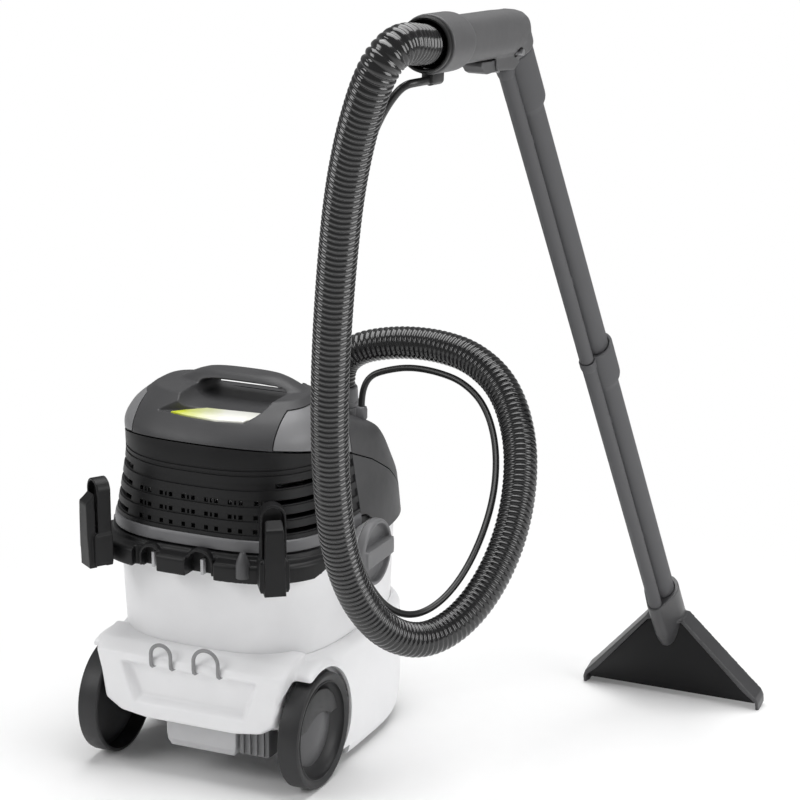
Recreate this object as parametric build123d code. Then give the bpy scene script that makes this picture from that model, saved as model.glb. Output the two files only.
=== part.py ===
from build123d import *

# Spray-extraction carpet cleaner: a wheeled container with a lift-off motor head, a suction
# hose with a spray hose beside it, and a handle, two suction tubes and a floor nozzle.
# Millimetres. The machine's own frame has +Z up, +Y to its front and +X to its right, with its
# origin on the floor under the middle of the container. The last step moves the whole set so
# that the origin is at the bottom centre of its box, measured without the two hoses.

import os
from math import cos, pi, radians, sin, tan

# ---------------------------------------------------------------- driving dimensions
MACHINE_HEIGHT = 482.0          # floor to the top of the carry handle
CORNER_SHARE = 0.66             # corner radius of the rounded plan, from its half width
WALL = 3.0                      # moulded wall of the shells
GAP = 0.8                       # shut line between two shells
FIT = 0.05                      # running clearance of a shaft in its bore, on the radius

TUB_FLOOR = 88.0
TUB_TOP = 290.0
TUB_LEVELS = [(TUB_FLOOR, 134.0, -138.0, 178.0), (155.0, 137.0, -141.0, 181.0), (TUB_TOP, 142.0, -147.0, 187.0)]
SKIRT_LEVELS = [(9.0, 141.0, -143.0, 186.0), (60.0, 148.0, -151.0, 193.0), (148.0, 148.0, -151.0, 193.0),
                (160.0, 142.0, -146.0, 187.0)]
HEAD_LEVELS = [(268.0, 149.0, -154.0, 194.0), (309.0, 145.5, -150.0, 190.0), (345.0, 140.0, -149.0, 165.0),
               (380.0, 135.5, -148.0, 130.0), (400.0, 133.0, -147.0, 78.0), (412.0, 131.0, -145.0, 44.0),
               (440.0, 120.0, -127.0, 12.0), (460.0, 100.0, -98.0, 4.0)]
SHUT_LINE = [(-148.0, 412.0), (-3.0, 378.0), (78.0, 347.0), (134.0, 312.0), (162.0, 279.0), (168.0, 260.0)]

WHEEL_RADIUS = 70.4
WHEEL_WIDTH = 27.0
WHEEL_OUTER_X = 148.0
AXLE_Y = -107.0
AXLE_RADIUS = 5.0
CASTER_X = 78.0
CASTER_Y = 120.0
CASTER_TRAIL = 14.0
CASTER_RADIUS = 21.0

KNOB_Z = 262.0
KNOB_RADIUS = 41.0
KNOB_OUTER_X = 174.0
KNOB_THICK = 17.0

SOCKET_X = 60.0
SOCKET_Y = 120.0
SOCKET_TOP = 400.0
COUPLING_TOP = 424.0
SPRAY_X = 100.0
SPRAY_Y = 100.0
HOSE_RADIUS = 20.0
SPRAY_HOSE_RADIUS = 4.0

WAND_X = 427.0
WAND_LEAN = 33.92               # degrees from upright, towards the user
WAND_FOOT_Y = 391.6             # where the wand's axis meets the floor
TUBE_PITCH = 453.5
NOZZLE_RIM = 201.0              # along the wand's axis, from the floor
TUBE_RADIUS = 16.25
LINE_OFFSET = 25.5              # spray line's axis from the tube's axis
LINE_RADIUS = 6.5
ELBOW_AT = 1130.0
GRIP_RISE = 5.0                 # degrees above level, towards the hose
GRIP_RADIUS = 23.0
COLLAR_RADIUS = 29.0
NOZZLE_HALF_WIDTH = 115.0
NOZZLE_LIP_Y = 340.0
NOZZLE_LEAN = 14.0

# Routes of the two hoses, in the machine's frame: from the machine up and over, down in a loop
# beside the machine, and up to the handle. Both are chosen by hand.
HOSE_ROUTE = [(60, 120, 424), (60, 120, 443), (69, 121, 461), (89, 123, 475), (118, 125, 483), (152, 126, 488),
              (195, 123, 489), (243, 112, 483), (291, 90, 460), (326, 56, 416), (346, 12, 368), (353, -36, 318),
              (346, -84, 273), (330, -132, 243), (307, -180, 234), (283, -226, 258), (266, -266, 310),
              (263, -302, 380), (272, -336, 461), (287, -370, 551), (306, -402, 641), (327, -432, 726),
              (349, -461, 802), (371, -485, 860), (390, -502, 901), (405, -512, 931), (417, -512, 953),
              (425, -495, 964), (427, -471, 961), (427, -446, 955.7), (427, -421, 953.5)]
SPRAY_ROUTE = [(100, 100, 408), (100, 100, 425), (108, 105, 446), (130, 109, 455), (159, 113, 461), (196, 111, 460),
               (233, 103, 454), (269, 84, 436), (297, 53, 403), (315, 11, 363), (322, -37, 325), (318, -83, 288),
               (307, -126, 264), (291, -162, 257), (277, -195, 272), (268, -224, 302), (263, -252, 347),
               (262, -282, 408), (267, -310, 474), (279, -341, 557), (297, -372, 642), (318, -400, 723),
               (342, -427, 796), (367, -448, 848), (388, -462, 884), (405, -470, 907), (418, -470, 921),
               (427, -454, 921.8), (427, -431.9, 919.8)]

nodes = {}
CORDS = ["suction_hose", "spray_hose"]


# ---------------------------------------------------------------- helpers
def oval(half_width, rear, front, z):
    """A level face with the container's rounded plan, from y = rear to y = front."""
    depth = (front - rear) / 2
    radius = min(CORNER_SHARE * half_width, 0.88 * depth)
    return Pos(0, (rear + front) / 2, z) * RectangleRounded(2 * half_width, 2 * depth, radius)


def stack(levels, inset=0.0):
    """A solid through level ovals (z, half width, rear, front), each pulled in by inset."""
    faces = [oval(half - inset, rear + inset, front - inset, z) for z, half, rear, front in levels]
    return loft(faces, ruled=True)


def between(levels, z):
    """The oval's half width, rear and front at height z, worked out along the levels."""
    for low, high in zip(levels, levels[1:]):
        if low[0] <= z <= high[0]:
            share = (z - low[0]) / (high[0] - low[0])
            return tuple(low[k] + share * (high[k] - low[k]) for k in (1, 2, 3))
    raise ValueError(f"no level at {z}")


def block(x0, x1, y0, y1, z0, z1, radius=0.0):
    """A box from its two corners, with its upright edges rounded."""
    shape = Box(x1 - x0, y1 - y0, z1 - z0)
    if radius:
        shape = fillet(shape.edges().filter_by(Axis.Z), radius)
    return Pos((x0 + x1) / 2, (y0 + y1) / 2, (z0 + z1) / 2) * shape


def rod(start, end, radius):
    """A round bar between two points."""
    first = Vector(*start)
    run = Vector(*end) - first
    return Plane(origin=first, z_dir=run.normalized()) * extrude(Circle(radius), run.length)


def pipe(start, end, outer, inner):
    """A tube between two points."""
    return rod(start, end, outer) - rod(start, end, inner)


def side_prism(outline, x0, x1):
    """A prism along X from points (y, z)."""
    face = make_face(Polyline(*[(0, y, z) for y, z in outline], close=True))
    return Pos(x0, 0, 0) * extrude(face, x1 - x0, dir=(1, 0, 0))


def rear_prism(outline, y0, y1):
    """A prism along Y from points (x, z)."""
    face = make_face(Polyline(*[(x, 0, z) for x, z in outline], close=True))
    return Pos(0, y0, 0) * extrude(face, y1 - y0, dir=(0, 1, 0))


def group(shapes):
    """Several separate solids as one node."""
    return Compound([solid for shape in shapes for solid in shape.solids()])


def hose_tube(route, radius, name):
    """A hose along straight runs joined by tangent arcs, with its radii and length printed."""
    points = [Vector(*p) for p in route]
    radii = []
    for before, here, after in zip(points, points[1:], points[2:]):
        turn = (here - before).get_angle(after - here)
        shorter = min((here - before).length, (after - here).length)
        radii.append(0.45 * shorter / tan(radians(turn / 2)))
    path = FilletPolyline(*points, radius=radii)
    start = Plane(origin=points[0], z_dir=(points[1] - points[0]).normalized())
    tube = sweep(start * Circle(radius), path=path)
    share = tube.volume / (pi * radius ** 2 * path.length)
    print(name, "length", round(path.length), "volume share", round(share, 4), "radii",
          [round(value) for value in radii])
    return tube


# ---------------------------------------------------------------- container and running gear
def make_container():
    tub = stack(TUB_LEVELS) - stack([(z + WALL * (z == TUB_FLOOR) + (z == TUB_TOP), a, r, f)
                                     for z, a, r, f in TUB_LEVELS], 3.5)
    whole = stack(TUB_LEVELS)
    for side in (-1, 1):
        tub += whole & rod((side * 113.5, AXLE_Y, WHEEL_RADIUS), (side * 150, AXLE_Y, WHEEL_RADIUS), WHEEL_RADIUS + 7)
        tub -= rod((side * 117, AXLE_Y, WHEEL_RADIUS), (side * 170, AXLE_Y, WHEEL_RADIUS), WHEEL_RADIUS + 3.5)
        tub += rod((side * 138, 0, KNOB_Z), (side * 153, 0, KNOB_Z), 15)
        tub -= rod((side * 130, 0, KNOB_Z), (side * 160, 0, KNOB_Z), 7 + FIT)
    nodes["container"] = tub

    skirt = stack(SKIRT_LEVELS)
    bulge = rear_prism([(-127, 150), (127, 150), (122, 128), (100, 84), (60, 74), (-60, 74), (-100, 84), (-122, 128)],
                       -168, -110)
    skirt += bulge
    inner = [(5, 137, -139, 182), (60, 144.5, -147.5, 189.5), (145, 144.5, -147.5, 189.5), (156, 139.5, -142.5, 183.5)]
    skirt -= stack(inner)
    skirt -= block(-96, 96, -164.5, -140, 60, 146)
    skirt -= block(-97, 97, -164.5, -115, 60, 80)
    half, rear, front = between(TUB_LEVELS, 155)
    skirt -= stack([(84, half + 0.4, rear - 0.4, front + 0.4), (170, half + 0.9, rear - 0.9, front + 0.9)])
    skirt -= rear_prism([(-90, 140), (90, 140), (72, 96), (-72, 96)], -170, -166.5)
    skirt -= block(-118, 118, -200, -60, -10, 74)
    skirt -= block(-200, 200, -200, -30, -10, 22)
    skirt -= side_prism([(100, -5), (132, 32), (150, 40), (230, 40), (230, -5)], -200, 200)
    for side in (-1, 1):
        arch = rod((side * 117, AXLE_Y, WHEEL_RADIUS), (side * 170, AXLE_Y, WHEEL_RADIUS), WHEEL_RADIUS + 7)
        low = block(side * 143.5 - 26.5, side * 143.5 + 26.5, -190, AXLE_Y, -5, WHEEL_RADIUS)
        skirt -= arch + low
    nodes["chassis_skirt"] = skirt

    plate = stack([(79, 134, -137, 178), (85, 134, -137, 178)])
    for side in (-1, 1):
        plate += block(side * 70 - 12, side * 70 + 12, AXLE_Y - 12, AXLE_Y + 12, 58, 80)
        plate -= rod((side * 70 - 20, AXLE_Y, WHEEL_RADIUS), (side * 70 + 20, AXLE_Y, WHEEL_RADIUS), AXLE_RADIUS)
        plate += rod((side * CASTER_X, CASTER_Y, 52), (side * CASTER_X, CASTER_Y, 80), 12)
        plate -= rod((side * CASTER_X, CASTER_Y, 40), (side * CASTER_X, CASTER_Y, 76), 4 + FIT)
        plate -= block(side * 133 - 18, side * 133 + 18, AXLE_Y - 78, AXLE_Y + 78, 70, 90)
    nodes["base_plate"] = plate

    nodes["sump_box"] = block(-42, 53, -150, -116, 35, 79, 4)
    cover = block(55, 95, -146, -121, 40, 79, 3)
    for x in (61, 70, 79, 88):
        cover += block(x - 1.5, x + 1.5, -149, -145, 42, 74)
    nodes["pump_cover"] = cover

    hooks = []
    for x, half in ((-34.5, 15.5), (25.5, 18.5)):
        arch = Plane.XZ * (Pos(0, 158) * (Circle(half) - Circle(half - 4.6)))
        arch = extrude(arch, 5)
        arch -= block(-40, 40, -40, 40, 120, 158)
        shape = arch
        for side in (-1, 1):
            leg = half - 2.3
            shape += block(side * leg - 2.3, side * leg + 2.3, -5, 0, 141, 158.5)
        hooks.append(Pos(x, -168, 0) * shape)
    nodes["cord_hooks"] = group(hooks)


def make_wheels():
    axle = [rod((-141, AXLE_Y, WHEEL_RADIUS), (141, AXLE_Y, WHEEL_RADIUS), AXLE_RADIUS)]
    inner_x = WHEEL_OUTER_X - WHEEL_WIDTH
    profile = [(inner_x, 66), (inner_x, 69.4), (inner_x + 2, WHEEL_RADIUS), (WHEEL_OUTER_X - 4, WHEEL_RADIUS),
               (WHEEL_OUTER_X - 1, 68.5), (WHEEL_OUTER_X, 65), (WHEEL_OUTER_X - 0.6, 58), (WHEEL_OUTER_X - 6, 53.5),
               (WHEEL_OUTER_X - 10, 48), (WHEEL_OUTER_X - 11, 36), (WHEEL_OUTER_X - 11, AXLE_RADIUS + FIT),
               (inner_x - 1, AXLE_RADIUS + FIT), (inner_x - 1, 13), (WHEEL_OUTER_X - 14, 13),
               (WHEEL_OUTER_X - 14, 47), (WHEEL_OUTER_X - 9, 56), (WHEEL_OUTER_X - 6, 66)]
    for name, side in (("left", -1), ("right", 1)):
        face = make_face(Polyline(*[(side * x, 0, r) for x, r in profile], close=True))
        wheel = revolve(face, Axis.X)
        nodes[f"wheel_{name}"] = Pos(0, AXLE_Y, WHEEL_RADIUS) * wheel
        clip_x = WHEEL_OUTER_X - 10.6
        axle.append(rod((side * clip_x, AXLE_Y, WHEEL_RADIUS), (side * (clip_x + 1.5), AXLE_Y, WHEEL_RADIUS), 9))
        cap = rod((side * (clip_x + 0.2), AXLE_Y, WHEEL_RADIUS), (side * (clip_x + 5), AXLE_Y, WHEEL_RADIUS), 33)
        cap -= rod((side * clip_x, AXLE_Y, WHEEL_RADIUS), (side * (clip_x + 3.6), AXLE_Y, WHEEL_RADIUS), 10)
        nodes[f"hub_cap_{name}"] = cap
    nodes["rear_axle"] = axle[0] + axle[1] + axle[2]


def make_casters():
    wheel_y = CASTER_Y - CASTER_TRAIL
    for name, side in (("left", -1), ("right", 1)):
        x = side * CASTER_X
        fork = rod((x, CASTER_Y, 44.5), (x, CASTER_Y, 74), 4)
        fork += block(x - 14, x + 14, wheel_y - 12, CASTER_Y + 10, 44.5, 50, 5)
        for cheek in (-1, 1):
            fork += side_prism([(wheel_y - 6, 13), (wheel_y + 6, 13), (CASTER_Y + 6, 46), (wheel_y - 11, 46)],
                               x + cheek * 12.5 - 1.5, x + cheek * 12.5 + 1.5)
        axis = ((x - 14, wheel_y, CASTER_RADIUS), (x + 14, wheel_y, CASTER_RADIUS))
        fork -= rod(*axis, 2.5)
        nodes[f"caster_fork_{name}"] = group([fork, rod(*axis, 2.5)])
        tyre = rod((x - 9, wheel_y, CASTER_RADIUS), (x + 9, wheel_y, CASTER_RADIUS), CASTER_RADIUS)
        tyre = fillet(tyre.edges().filter_by(GeomType.CIRCLE), 4)
        nodes[f"caster_wheel_{name}"] = tyre - rod(*axis, 2.5 + FIT)


def make_carrier():
    outer = stack([(263, 160, -171, 200), (292, 157, -168, 200)])
    inner = stack([(260, 142.4, -147.4, 190), (296, 143.2, -148.2, 190)])
    carrier = (outer - inner) & block(-170, 170, -200, -88, 255, 300)
    carrier &= side_prism([(-200, 255), (-118, 262), (-88, 276), (-88, 296), (-200, 296)], -170, 170)
    for x, half, low, high in ((-49.5, 15.5, -72, -38), (15.4, 19, 0.4, 37.4)):
        carrier -= block(low, high, -190, -157, 250, 300)
        carrier += rod((x, -162, 277), (x, -152.8, 277), half) & block(x - half, x + half, -170, -140, 264, 300)
        carrier -= rod((x, -190, 277), (x, -152, 277), half - 3) + block(x - half + 3, x + half - 3, -190, -152, 250, 277)
    carrier += rod((73, -163, 268), (73, -163, 286), 7)
    carrier += Pos(73, -163, 285.9) * Cone(8, 3.2, 15, align=(Align.CENTER, Align.CENTER, Align.MIN))
    posts = []
    for side in (-1, 1):
        tilt = Pos(side * 117, -166, 0) * Rot(0, 0, side * 35)
        tongue = tilt * (side_prism([(-16, 262), (-2, 262), (-4, 356), (-9, 361), (-14, 352)], -14, 14))
        back = tilt * (side_prism([(6, 262), (14, 262), (12, 362), (7, 369)], -16, 16)
                       + block(-16, -13, -8, 12, 262, 350) + block(13, 16, -8, 12, 262, 350))
        foot = tilt * block(-17, 17, -18, 16, 258, 276, 4)
        posts.append(tongue + back + foot - inner)
        carrier -= tilt * block(-17.4, 17.4, -18.4, 16.4, 250, 310)
    nodes["tube_posts"] = group(posts)
    nodes["accessory_carrier"] = carrier


def make_knobs():
    for name, side in (("left", -1), ("right", 1)):
        base_x = KNOB_OUTER_X - KNOB_THICK
        disc = rod((side * base_x, 0, KNOB_Z), (side * (KNOB_OUTER_X - 5), 0, KNOB_Z), KNOB_RADIUS)
        bar = Box(10, 76, 20)
        bar = Pos(side * (KNOB_OUTER_X - 5), 0, KNOB_Z) * bar
        bar &= rod((side * base_x, 0, KNOB_Z), (side * (KNOB_OUTER_X + 2), 0, KNOB_Z), KNOB_RADIUS - 2)
        nodes[f"latch_knob_{name}"] = disc + bar + rod((side * 132, 0, KNOB_Z), (side * base_x, 0, KNOB_Z), 7)


# ---------------------------------------------------------------- head
def make_head():
    outer = stack(HEAD_LEVELS)
    inner = stack([(z - (z == 460.0) * WALL, a, r, f) for z, a, r, f in HEAD_LEVELS], WALL)
    inner += stack([(260, 146, -151, 191), (268.5, 146, -151, 191)])
    shell = outer - inner
    roof = [(y, z) for y, z in SHUT_LINE] + [(230, 260), (230, 520), (-230, 520), (-230, 424)]
    above = side_prism(roof, -200, 200)
    below = side_prism([(y, z - GAP) for y, z in SHUT_LINE] + [(168, 200), (-230, 200), (-230, 423)], -200, 200)
    front = block(-200, 200, GAP, 230, 200, 520)
    rear = block(-200, 200, -230, 0, 200, 520)

    housing = shell & below & rear & block(-200, 200, -230, 0, 309.6, 520)
    for row in range(4):
        z = 326 + 15 * row
        for side in (-1, 1):
            housing -= block(side * 128 - 24, side * 128 + 24, -132, -52, z, z + 5)
    for row in range(3):
        for pair in range(6):
            x = -75 + 30 * pair
            for hole in (0, 9):
                housing -= block(x + hole, x + hole + 5, -160, -135, 330 + 15 * row, 335 + 15 * row)
    nodes["louvre_housing"] = housing

    lower = shell & below & front
    for side in (-1, 1):
        lower -= rod((side * 120, 0, KNOB_Z), (side * 170, 0, KNOB_Z), KNOB_RADIUS + 2)
    nodes["side_shells"] = lower

    band = stack([(294, 147, -152, 191), (309, 146, -151, 190)])
    band -= stack([(293, 142.6, -147.6, 187), (310, 142.4, -147.4, 187)])
    nodes["rim_band"] = band & rear
    floor = stack([(293, 142, -147, 186.4), (299, 142, -147, 186.4)])
    floor -= rod((0, -55, 290), (0, -55, 302), 30)
    floor -= rod((SOCKET_X, SOCKET_Y, 290), (SOCKET_X, SOCKET_Y, 302), HOSE_RADIUS)
    nodes["head_floor"] = floor
    seal = stack([(290.3, 141.4, -146.4, 186), (293, 141.4, -146.4, 186)])
    seal -= stack([(289, 136.5, -141.5, 181), (294, 136.5, -141.5, 181)])
    nodes["head_seal"] = seal

    panels = {}
    cover = shell & above & block(-200, 200, -230, 0, 300, 520)
    for name, side in (("spray_switch", -1), ("vacuum_switch", 1)):
        wedge = block(side * 147.5 - 55, side * 147.5 + 55, -160, 2, 300, 452)
        panel = cover & wedge & side_prism([(-230, 434), (10, 380), (10, 520), (-230, 520)], -200, 200)
        panels[name] = panel & block(-200, 200, -230, -GAP, 300, 451.2) & block(min(side * 92.6, side * 200),
                                                                               max(side * 92.6, side * 200),
                                                                               -230, 10, 300, 520)
        cover -= wedge
    handle = loft([Pos(0, -32, 446) * RectangleRounded(196, 62, 22), Pos(0, -26, 470) * RectangleRounded(156, 46, 18),
                   Pos(0, -25, MACHINE_HEIGHT) * RectangleRounded(122, 30, 12)], ruled=True)
    recess = rear_prism([(-50, 444), (50, 444), (58, 452), (58, 462), (48, 470), (-48, 470), (-58, 462), (-58, 452)],
                        -80, 20)
    cover += handle - inner
    cover -= recess
    cover -= block(-62, 62, -120, -104, 441.5, 470)
    nodes["top_cover"] = cover
    nodes.update(panels)
    nodes["badge_plate"] = block(-60, 60, -108, -92, 444, 446.5)

    upper = shell & above & front
    lid_cut = block(-96, 26, 30, 132, 300, 520)
    lid = upper & block(-96 + GAP, 26 - GAP, 30 + GAP, 132 - GAP, 300, 520)
    upper -= lid_cut
    upper -= rod((SOCKET_X, SOCKET_Y, 350), (SOCKET_X, SOCKET_Y, 430), 27.1)
    upper -= rod((SPRAY_X, SPRAY_Y, 350), (SPRAY_X, SPRAY_Y, 430), 5.7)
    upper -= block(-62, 62, 0, 30, 446, 520)
    nodes["front_upper_shell"] = upper
    nodes["filler_lid"] = lid


def make_internals():
    nodes["turbine_housing"] = pipe((0, -55, 299), (0, -55, 330), 60, 56) + pipe((0, -55, 299), (0, -55, 302), 57, 28)
    nodes["turbine_fan"] = rod((0, -55, 306), (0, -55, 320), 50) - rod((0, -55, 300), (0, -55, 325), 4)
    nodes["motor"] = rod((0, -55, 330.5), (0, -55, 392), 46) - rod((0, -55, 330), (0, -55, 388), 4 + FIT)
    nodes["motor_shaft"] = rod((0, -55, 304), (0, -55, 386), 4)
    cage = pipe((0, -55, 236), (0, -55, 293), 27, 24) + rod((0, -55, 232), (0, -55, 236), 27)
    for k in range(6):
        cage -= Pos(0, -55, 262) * Rot(0, 0, 60 * k) * Box(80, 9, 40)
    nodes["float_cage"] = cage
    nodes["float_ball"] = Pos(0, -55, 254.4) * Sphere(18)
    inlet = pipe((SOCKET_X, SOCKET_Y, 250), (SOCKET_X, SOCKET_Y, 378), HOSE_RADIUS - 0.4, 17)
    nodes["inlet_pipe"] = inlet
    tank = block(-98, 28, 14, 112, 302, 366, 10) - block(-95.5, 25.5, 16.5, 109.5, 304.5, 363.5, 8)
    tank -= rod((-35, 70, 350), (-35, 70, 380), 24)
    strainer = rod((-80, 40, 304.5), (-80, 40, 322), 10) + pipe((-80, 40, 322), (-80, 40, 345), 4, 2)
    nodes["fresh_water_tank"] = group([tank, strainer])
    nodes["spray_pump"] = block(62, 112, 14, 62, 300, 336, 5) + rod((87, 38, 336), (87, 38, 352), 16)
    nodes["cord_gland"] = rod((-157, -20, 338), (-130, -20, 338), 9) + rod((-148, -20, 338), (-145, -20, 338), 13)
    nodes["cord_gland"] -= rod((-160, -20, 338), (-120, -20, 338), 4.2)
    nodes["louvre_housing"] -= rod((-160, -20, 338), (-120, -20, 338), 9.3)
    screws = []
    for x, y in ((-118, 60), (118, 60), (-110, -96), (110, -96)):
        screws.append(rod((x, y, 288.6), (x, y, 293), 5.5) + rod((x, y, 292), (x, y, 312), 2))
    for screw in screws:
        nodes["head_floor"] -= screw
    nodes["head_screws"] = group(screws)


# ---------------------------------------------------------------- hose, handle and wand
wand = Plane(origin=(WAND_X, WAND_FOOT_Y, 0), x_dir=(1, 0, 0),
             z_dir=(0, -sin(radians(WAND_LEAN)), cos(radians(WAND_LEAN))))
elbow_y = WAND_FOOT_Y - ELBOW_AT * sin(radians(WAND_LEAN))
elbow_z = ELBOW_AT * cos(radians(WAND_LEAN))
grip_direction = (0, -cos(radians(GRIP_RISE)), sin(radians(GRIP_RISE)))
grip = Plane(origin=(WAND_X, elbow_y, elbow_z), x_dir=(1, 0, 0), z_dir=grip_direction)


def along(plane, start, end, radius, down=0.0):
    """A round bar along a plane's normal, at a distance below its axis."""
    return plane * Pos(0, -down, start) * extrude(Circle(radius), end - start)


def make_couplings():
    socket = pipe((SOCKET_X, SOCKET_Y, 379), (SOCKET_X, SOCKET_Y, SOCKET_TOP), 27, 22.5)
    coupling = pipe((SOCKET_X, SOCKET_Y, 381), (SOCKET_X, SOCKET_Y, SOCKET_TOP + 0.5), 22, 17)
    coupling += pipe((SOCKET_X, SOCKET_Y, SOCKET_TOP + 0.5), (SOCKET_X, SOCKET_Y, COUPLING_TOP), 24.5, 17)
    nodes["hose_coupling"] = coupling
    spray_socket = pipe((SPRAY_X, SPRAY_Y, 372), (SPRAY_X, SPRAY_Y, 392), 5.6, 4.1)
    nodes["hose_sockets"] = group([socket, spray_socket])
    plug = rod((SPRAY_X, SPRAY_Y, 378), (SPRAY_X, SPRAY_Y, 393), 3.7)
    nodes["spray_coupling"] = plug + rod((SPRAY_X, SPRAY_Y, 392.5), (SPRAY_X, SPRAY_Y, 408), 7)
    nodes["suction_hose"] = hose_tube(HOSE_ROUTE, HOSE_RADIUS, "suction_hose")
    nodes["spray_hose"] = hose_tube(SPRAY_ROUTE, SPRAY_HOSE_RADIUS, "spray_hose")


def make_handle():
    body = along(wand, 1110, ELBOW_AT, GRIP_RADIUS) + Pos(WAND_X, elbow_y, elbow_z) * Sphere(GRIP_RADIUS)
    body += along(grip, 0, 155, GRIP_RADIUS)
    body += along(grip, 143, 199, COLLAR_RADIUS)
    body += along(wand, 1064, 1111, TUBE_RADIUS + 0.3)
    body += along(wand, 1109.5, 1138, 9.5, LINE_OFFSET)
    lobe = side_prism([(elbow_y - 62, elbow_z - 14), (elbow_y - 62, elbow_z - 39), (elbow_y - 20, elbow_z - 43),
                       (elbow_y + 4, elbow_z - 10)], WAND_X - 12, WAND_X + 12)
    body += lobe
    bore = along(wand, 1060, ELBOW_AT, 15) + Pos(WAND_X, elbow_y, elbow_z) * Sphere(15)
    bore += along(grip, 0, 165, 17) + along(grip, 161, 201, 26)
    body -= bore
    slot = side_prism([(elbow_y - 66, elbow_z - 24), (elbow_y - 66, elbow_z - 50), (elbow_y - 40, elbow_z - 50),
                       (elbow_y - 40, elbow_z - 24)], WAND_X - 8.5, WAND_X + 8.5)
    body -= slot
    pin_y = elbow_y - 50
    pin_z = elbow_z - 31
    pin = rod((WAND_X - 12, pin_y, pin_z), (WAND_X + 12, pin_y, pin_z), 2)
    body -= pin
    lock = rod((WAND_X + 14, elbow_y - 10, elbow_z - 18), (WAND_X + 22, elbow_y - 10, elbow_z - 18), 3.4)
    nodes["handle_pins"] = group([pin, lock])
    body -= lock
    body -= along(wand, 1106, 1133.2, 5.2, LINE_OFFSET)
    nodes["handle_shell_left"] = body & block(WAND_X - 60, WAND_X - 0.05, -500, 0, 800, 1100)
    nodes["handle_shell_right"] = body & block(WAND_X + 0.05, WAND_X + 60, -500, 0, 800, 1100)
    collar = along(grip, 161.2, 207, 25.8) - along(grip, 182.4, 215, 23.4)
    nodes["hose_collar"] = collar - along(grip, 155, 195, 16)
    trigger = side_prism([(pin_y - 56, pin_z - 3), (pin_y - 54, pin_z + 3), (pin_y - 4, pin_z + 6), (pin_y + 5, pin_z + 3),
                          (pin_y + 4, pin_z - 8), (pin_y - 40, pin_z - 12)], WAND_X - 8, WAND_X + 8)
    nodes["spray_trigger"] = trigger - rod((WAND_X - 12, pin_y, pin_z), (WAND_X + 12, pin_y, pin_z), 2 + FIT)
    nodes["spray_valve"] = group([along(wand, 1122.2, 1133, 5, LINE_OFFSET),
                                  along(grip, 169, 190.2, 5.5, COLLAR_RADIUS + 5.5)])


def make_tube(name, rim, line_foot):
    """One suction tube: a socket at its top rim and a plain end that plugs in below."""
    foot = rim - TUBE_PITCH
    tube = along(wand, foot - 42, rim - 50, TUBE_RADIUS)
    tube += along(wand, rim - 52, rim, 21)
    tube -= along(wand, foot - 50, rim - 46, TUBE_RADIUS - 1.8)
    tube -= along(wand, rim - 46, rim + 1, TUBE_RADIUS + 0.8)
    tube -= along(wand, foot - 20, rim + 2, LINE_RADIUS + 0.4, LINE_OFFSET)
    line = along(wand, foot + line_foot, rim - 1, LINE_RADIUS, LINE_OFFSET)
    line -= along(wand, foot - 20, rim + 1, 2.5, LINE_OFFSET)
    nodes[f"{name}_spray_line"] = line
    for share in (0.27, 0.75):
        at = foot + share * TUBE_PITCH
        ring = along(wand, at - 6, at + 6, LINE_RADIUS + 3.2, LINE_OFFSET)
        ring -= along(wand, at - 8, at + 8, LINE_RADIUS, LINE_OFFSET)
        tube += ring - along(wand, at - 8, at + 8, TUBE_RADIUS - 0.5)
    nodes[f"{name}_tube"] = tube


def make_nozzle():
    lip = Plane(origin=(WAND_X, NOZZLE_LIP_Y, 0), x_dir=(1, 0, 0),
                z_dir=(0, -sin(radians(NOZZLE_LEAN)), cos(radians(NOZZLE_LEAN))))
    outline = [(-NOZZLE_HALF_WIDTH, 0), (NOZZLE_HALF_WIDTH, 0), (NOZZLE_HALF_WIDTH, 14), (100, 30), (24, 122),
               (-24, 122), (-100, 30), (-NOZZLE_HALF_WIDTH, 14)]
    flat = make_face(Polyline(*[(x, 0, z) for x, z in outline], close=True))
    wedge = lip * (Pos(0, -13, 0) * extrude(flat, 26, dir=(0, 1, 0)))
    hollow = [(-108, -2), (108, -2), (108, 14), (96, 28), (16, 118), (-16, 118), (-96, 28), (-108, 14)]
    void = make_face(Polyline(*[(x, 0, z) for x, z in hollow], close=True))
    wedge -= lip * (Pos(0, 1, 0) * extrude(void, 9, dir=(0, 1, 0)))
    pocket = [(-112, -2), (112, -2), (112, 13), (97, 27), (22, 116), (-22, 116), (-97, 27), (-112, 13)]
    hole = make_face(Polyline(*[(x, 0, z) for x, z in pocket], close=True))
    wedge -= lip * (Pos(0, -14, 0) * extrude(hole, 8, dir=(0, 1, 0)))
    plate = [(-111.5, 8), (111.5, 8), (111.5, 13), (96.5, 26.6), (21.6, 115.6), (-21.6, 115.6), (-96.5, 26.6), (-111.5, 13)]
    face = make_face(Polyline(*[(x, 0, z) for x, z in plate], close=True))
    nodes["nozzle_face"] = lip * (Pos(0, -9, 0) * extrude(face, 2.9, dir=(0, 1, 0)))
    neck = along(wand, 128, NOZZLE_RIM, 22) + along(wand, 118, NOZZLE_RIM, 10.5, LINE_OFFSET)
    neck -= lip * block(-200, 200, -200, 13, -20, 104)
    wedge += neck
    wedge -= along(wand, 132, NOZZLE_RIM + 2, TUBE_RADIUS + 0.8)
    wedge -= along(wand, 186, NOZZLE_RIM + 2, LINE_RADIUS + 0.5, LINE_OFFSET)
    wedge &= block(200, 700, 200, 500, 0, 300)
    nodes["nozzle_face"] &= block(200, 700, 200, 500, 0, 300)
    nodes["nozzle_face"] -= neck
    nodes["nozzle_body"] = wedge
    nodes["spray_jet"] = lip * Pos(0, -12.4, 40) * Box(16, 6.6, 14)


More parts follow.
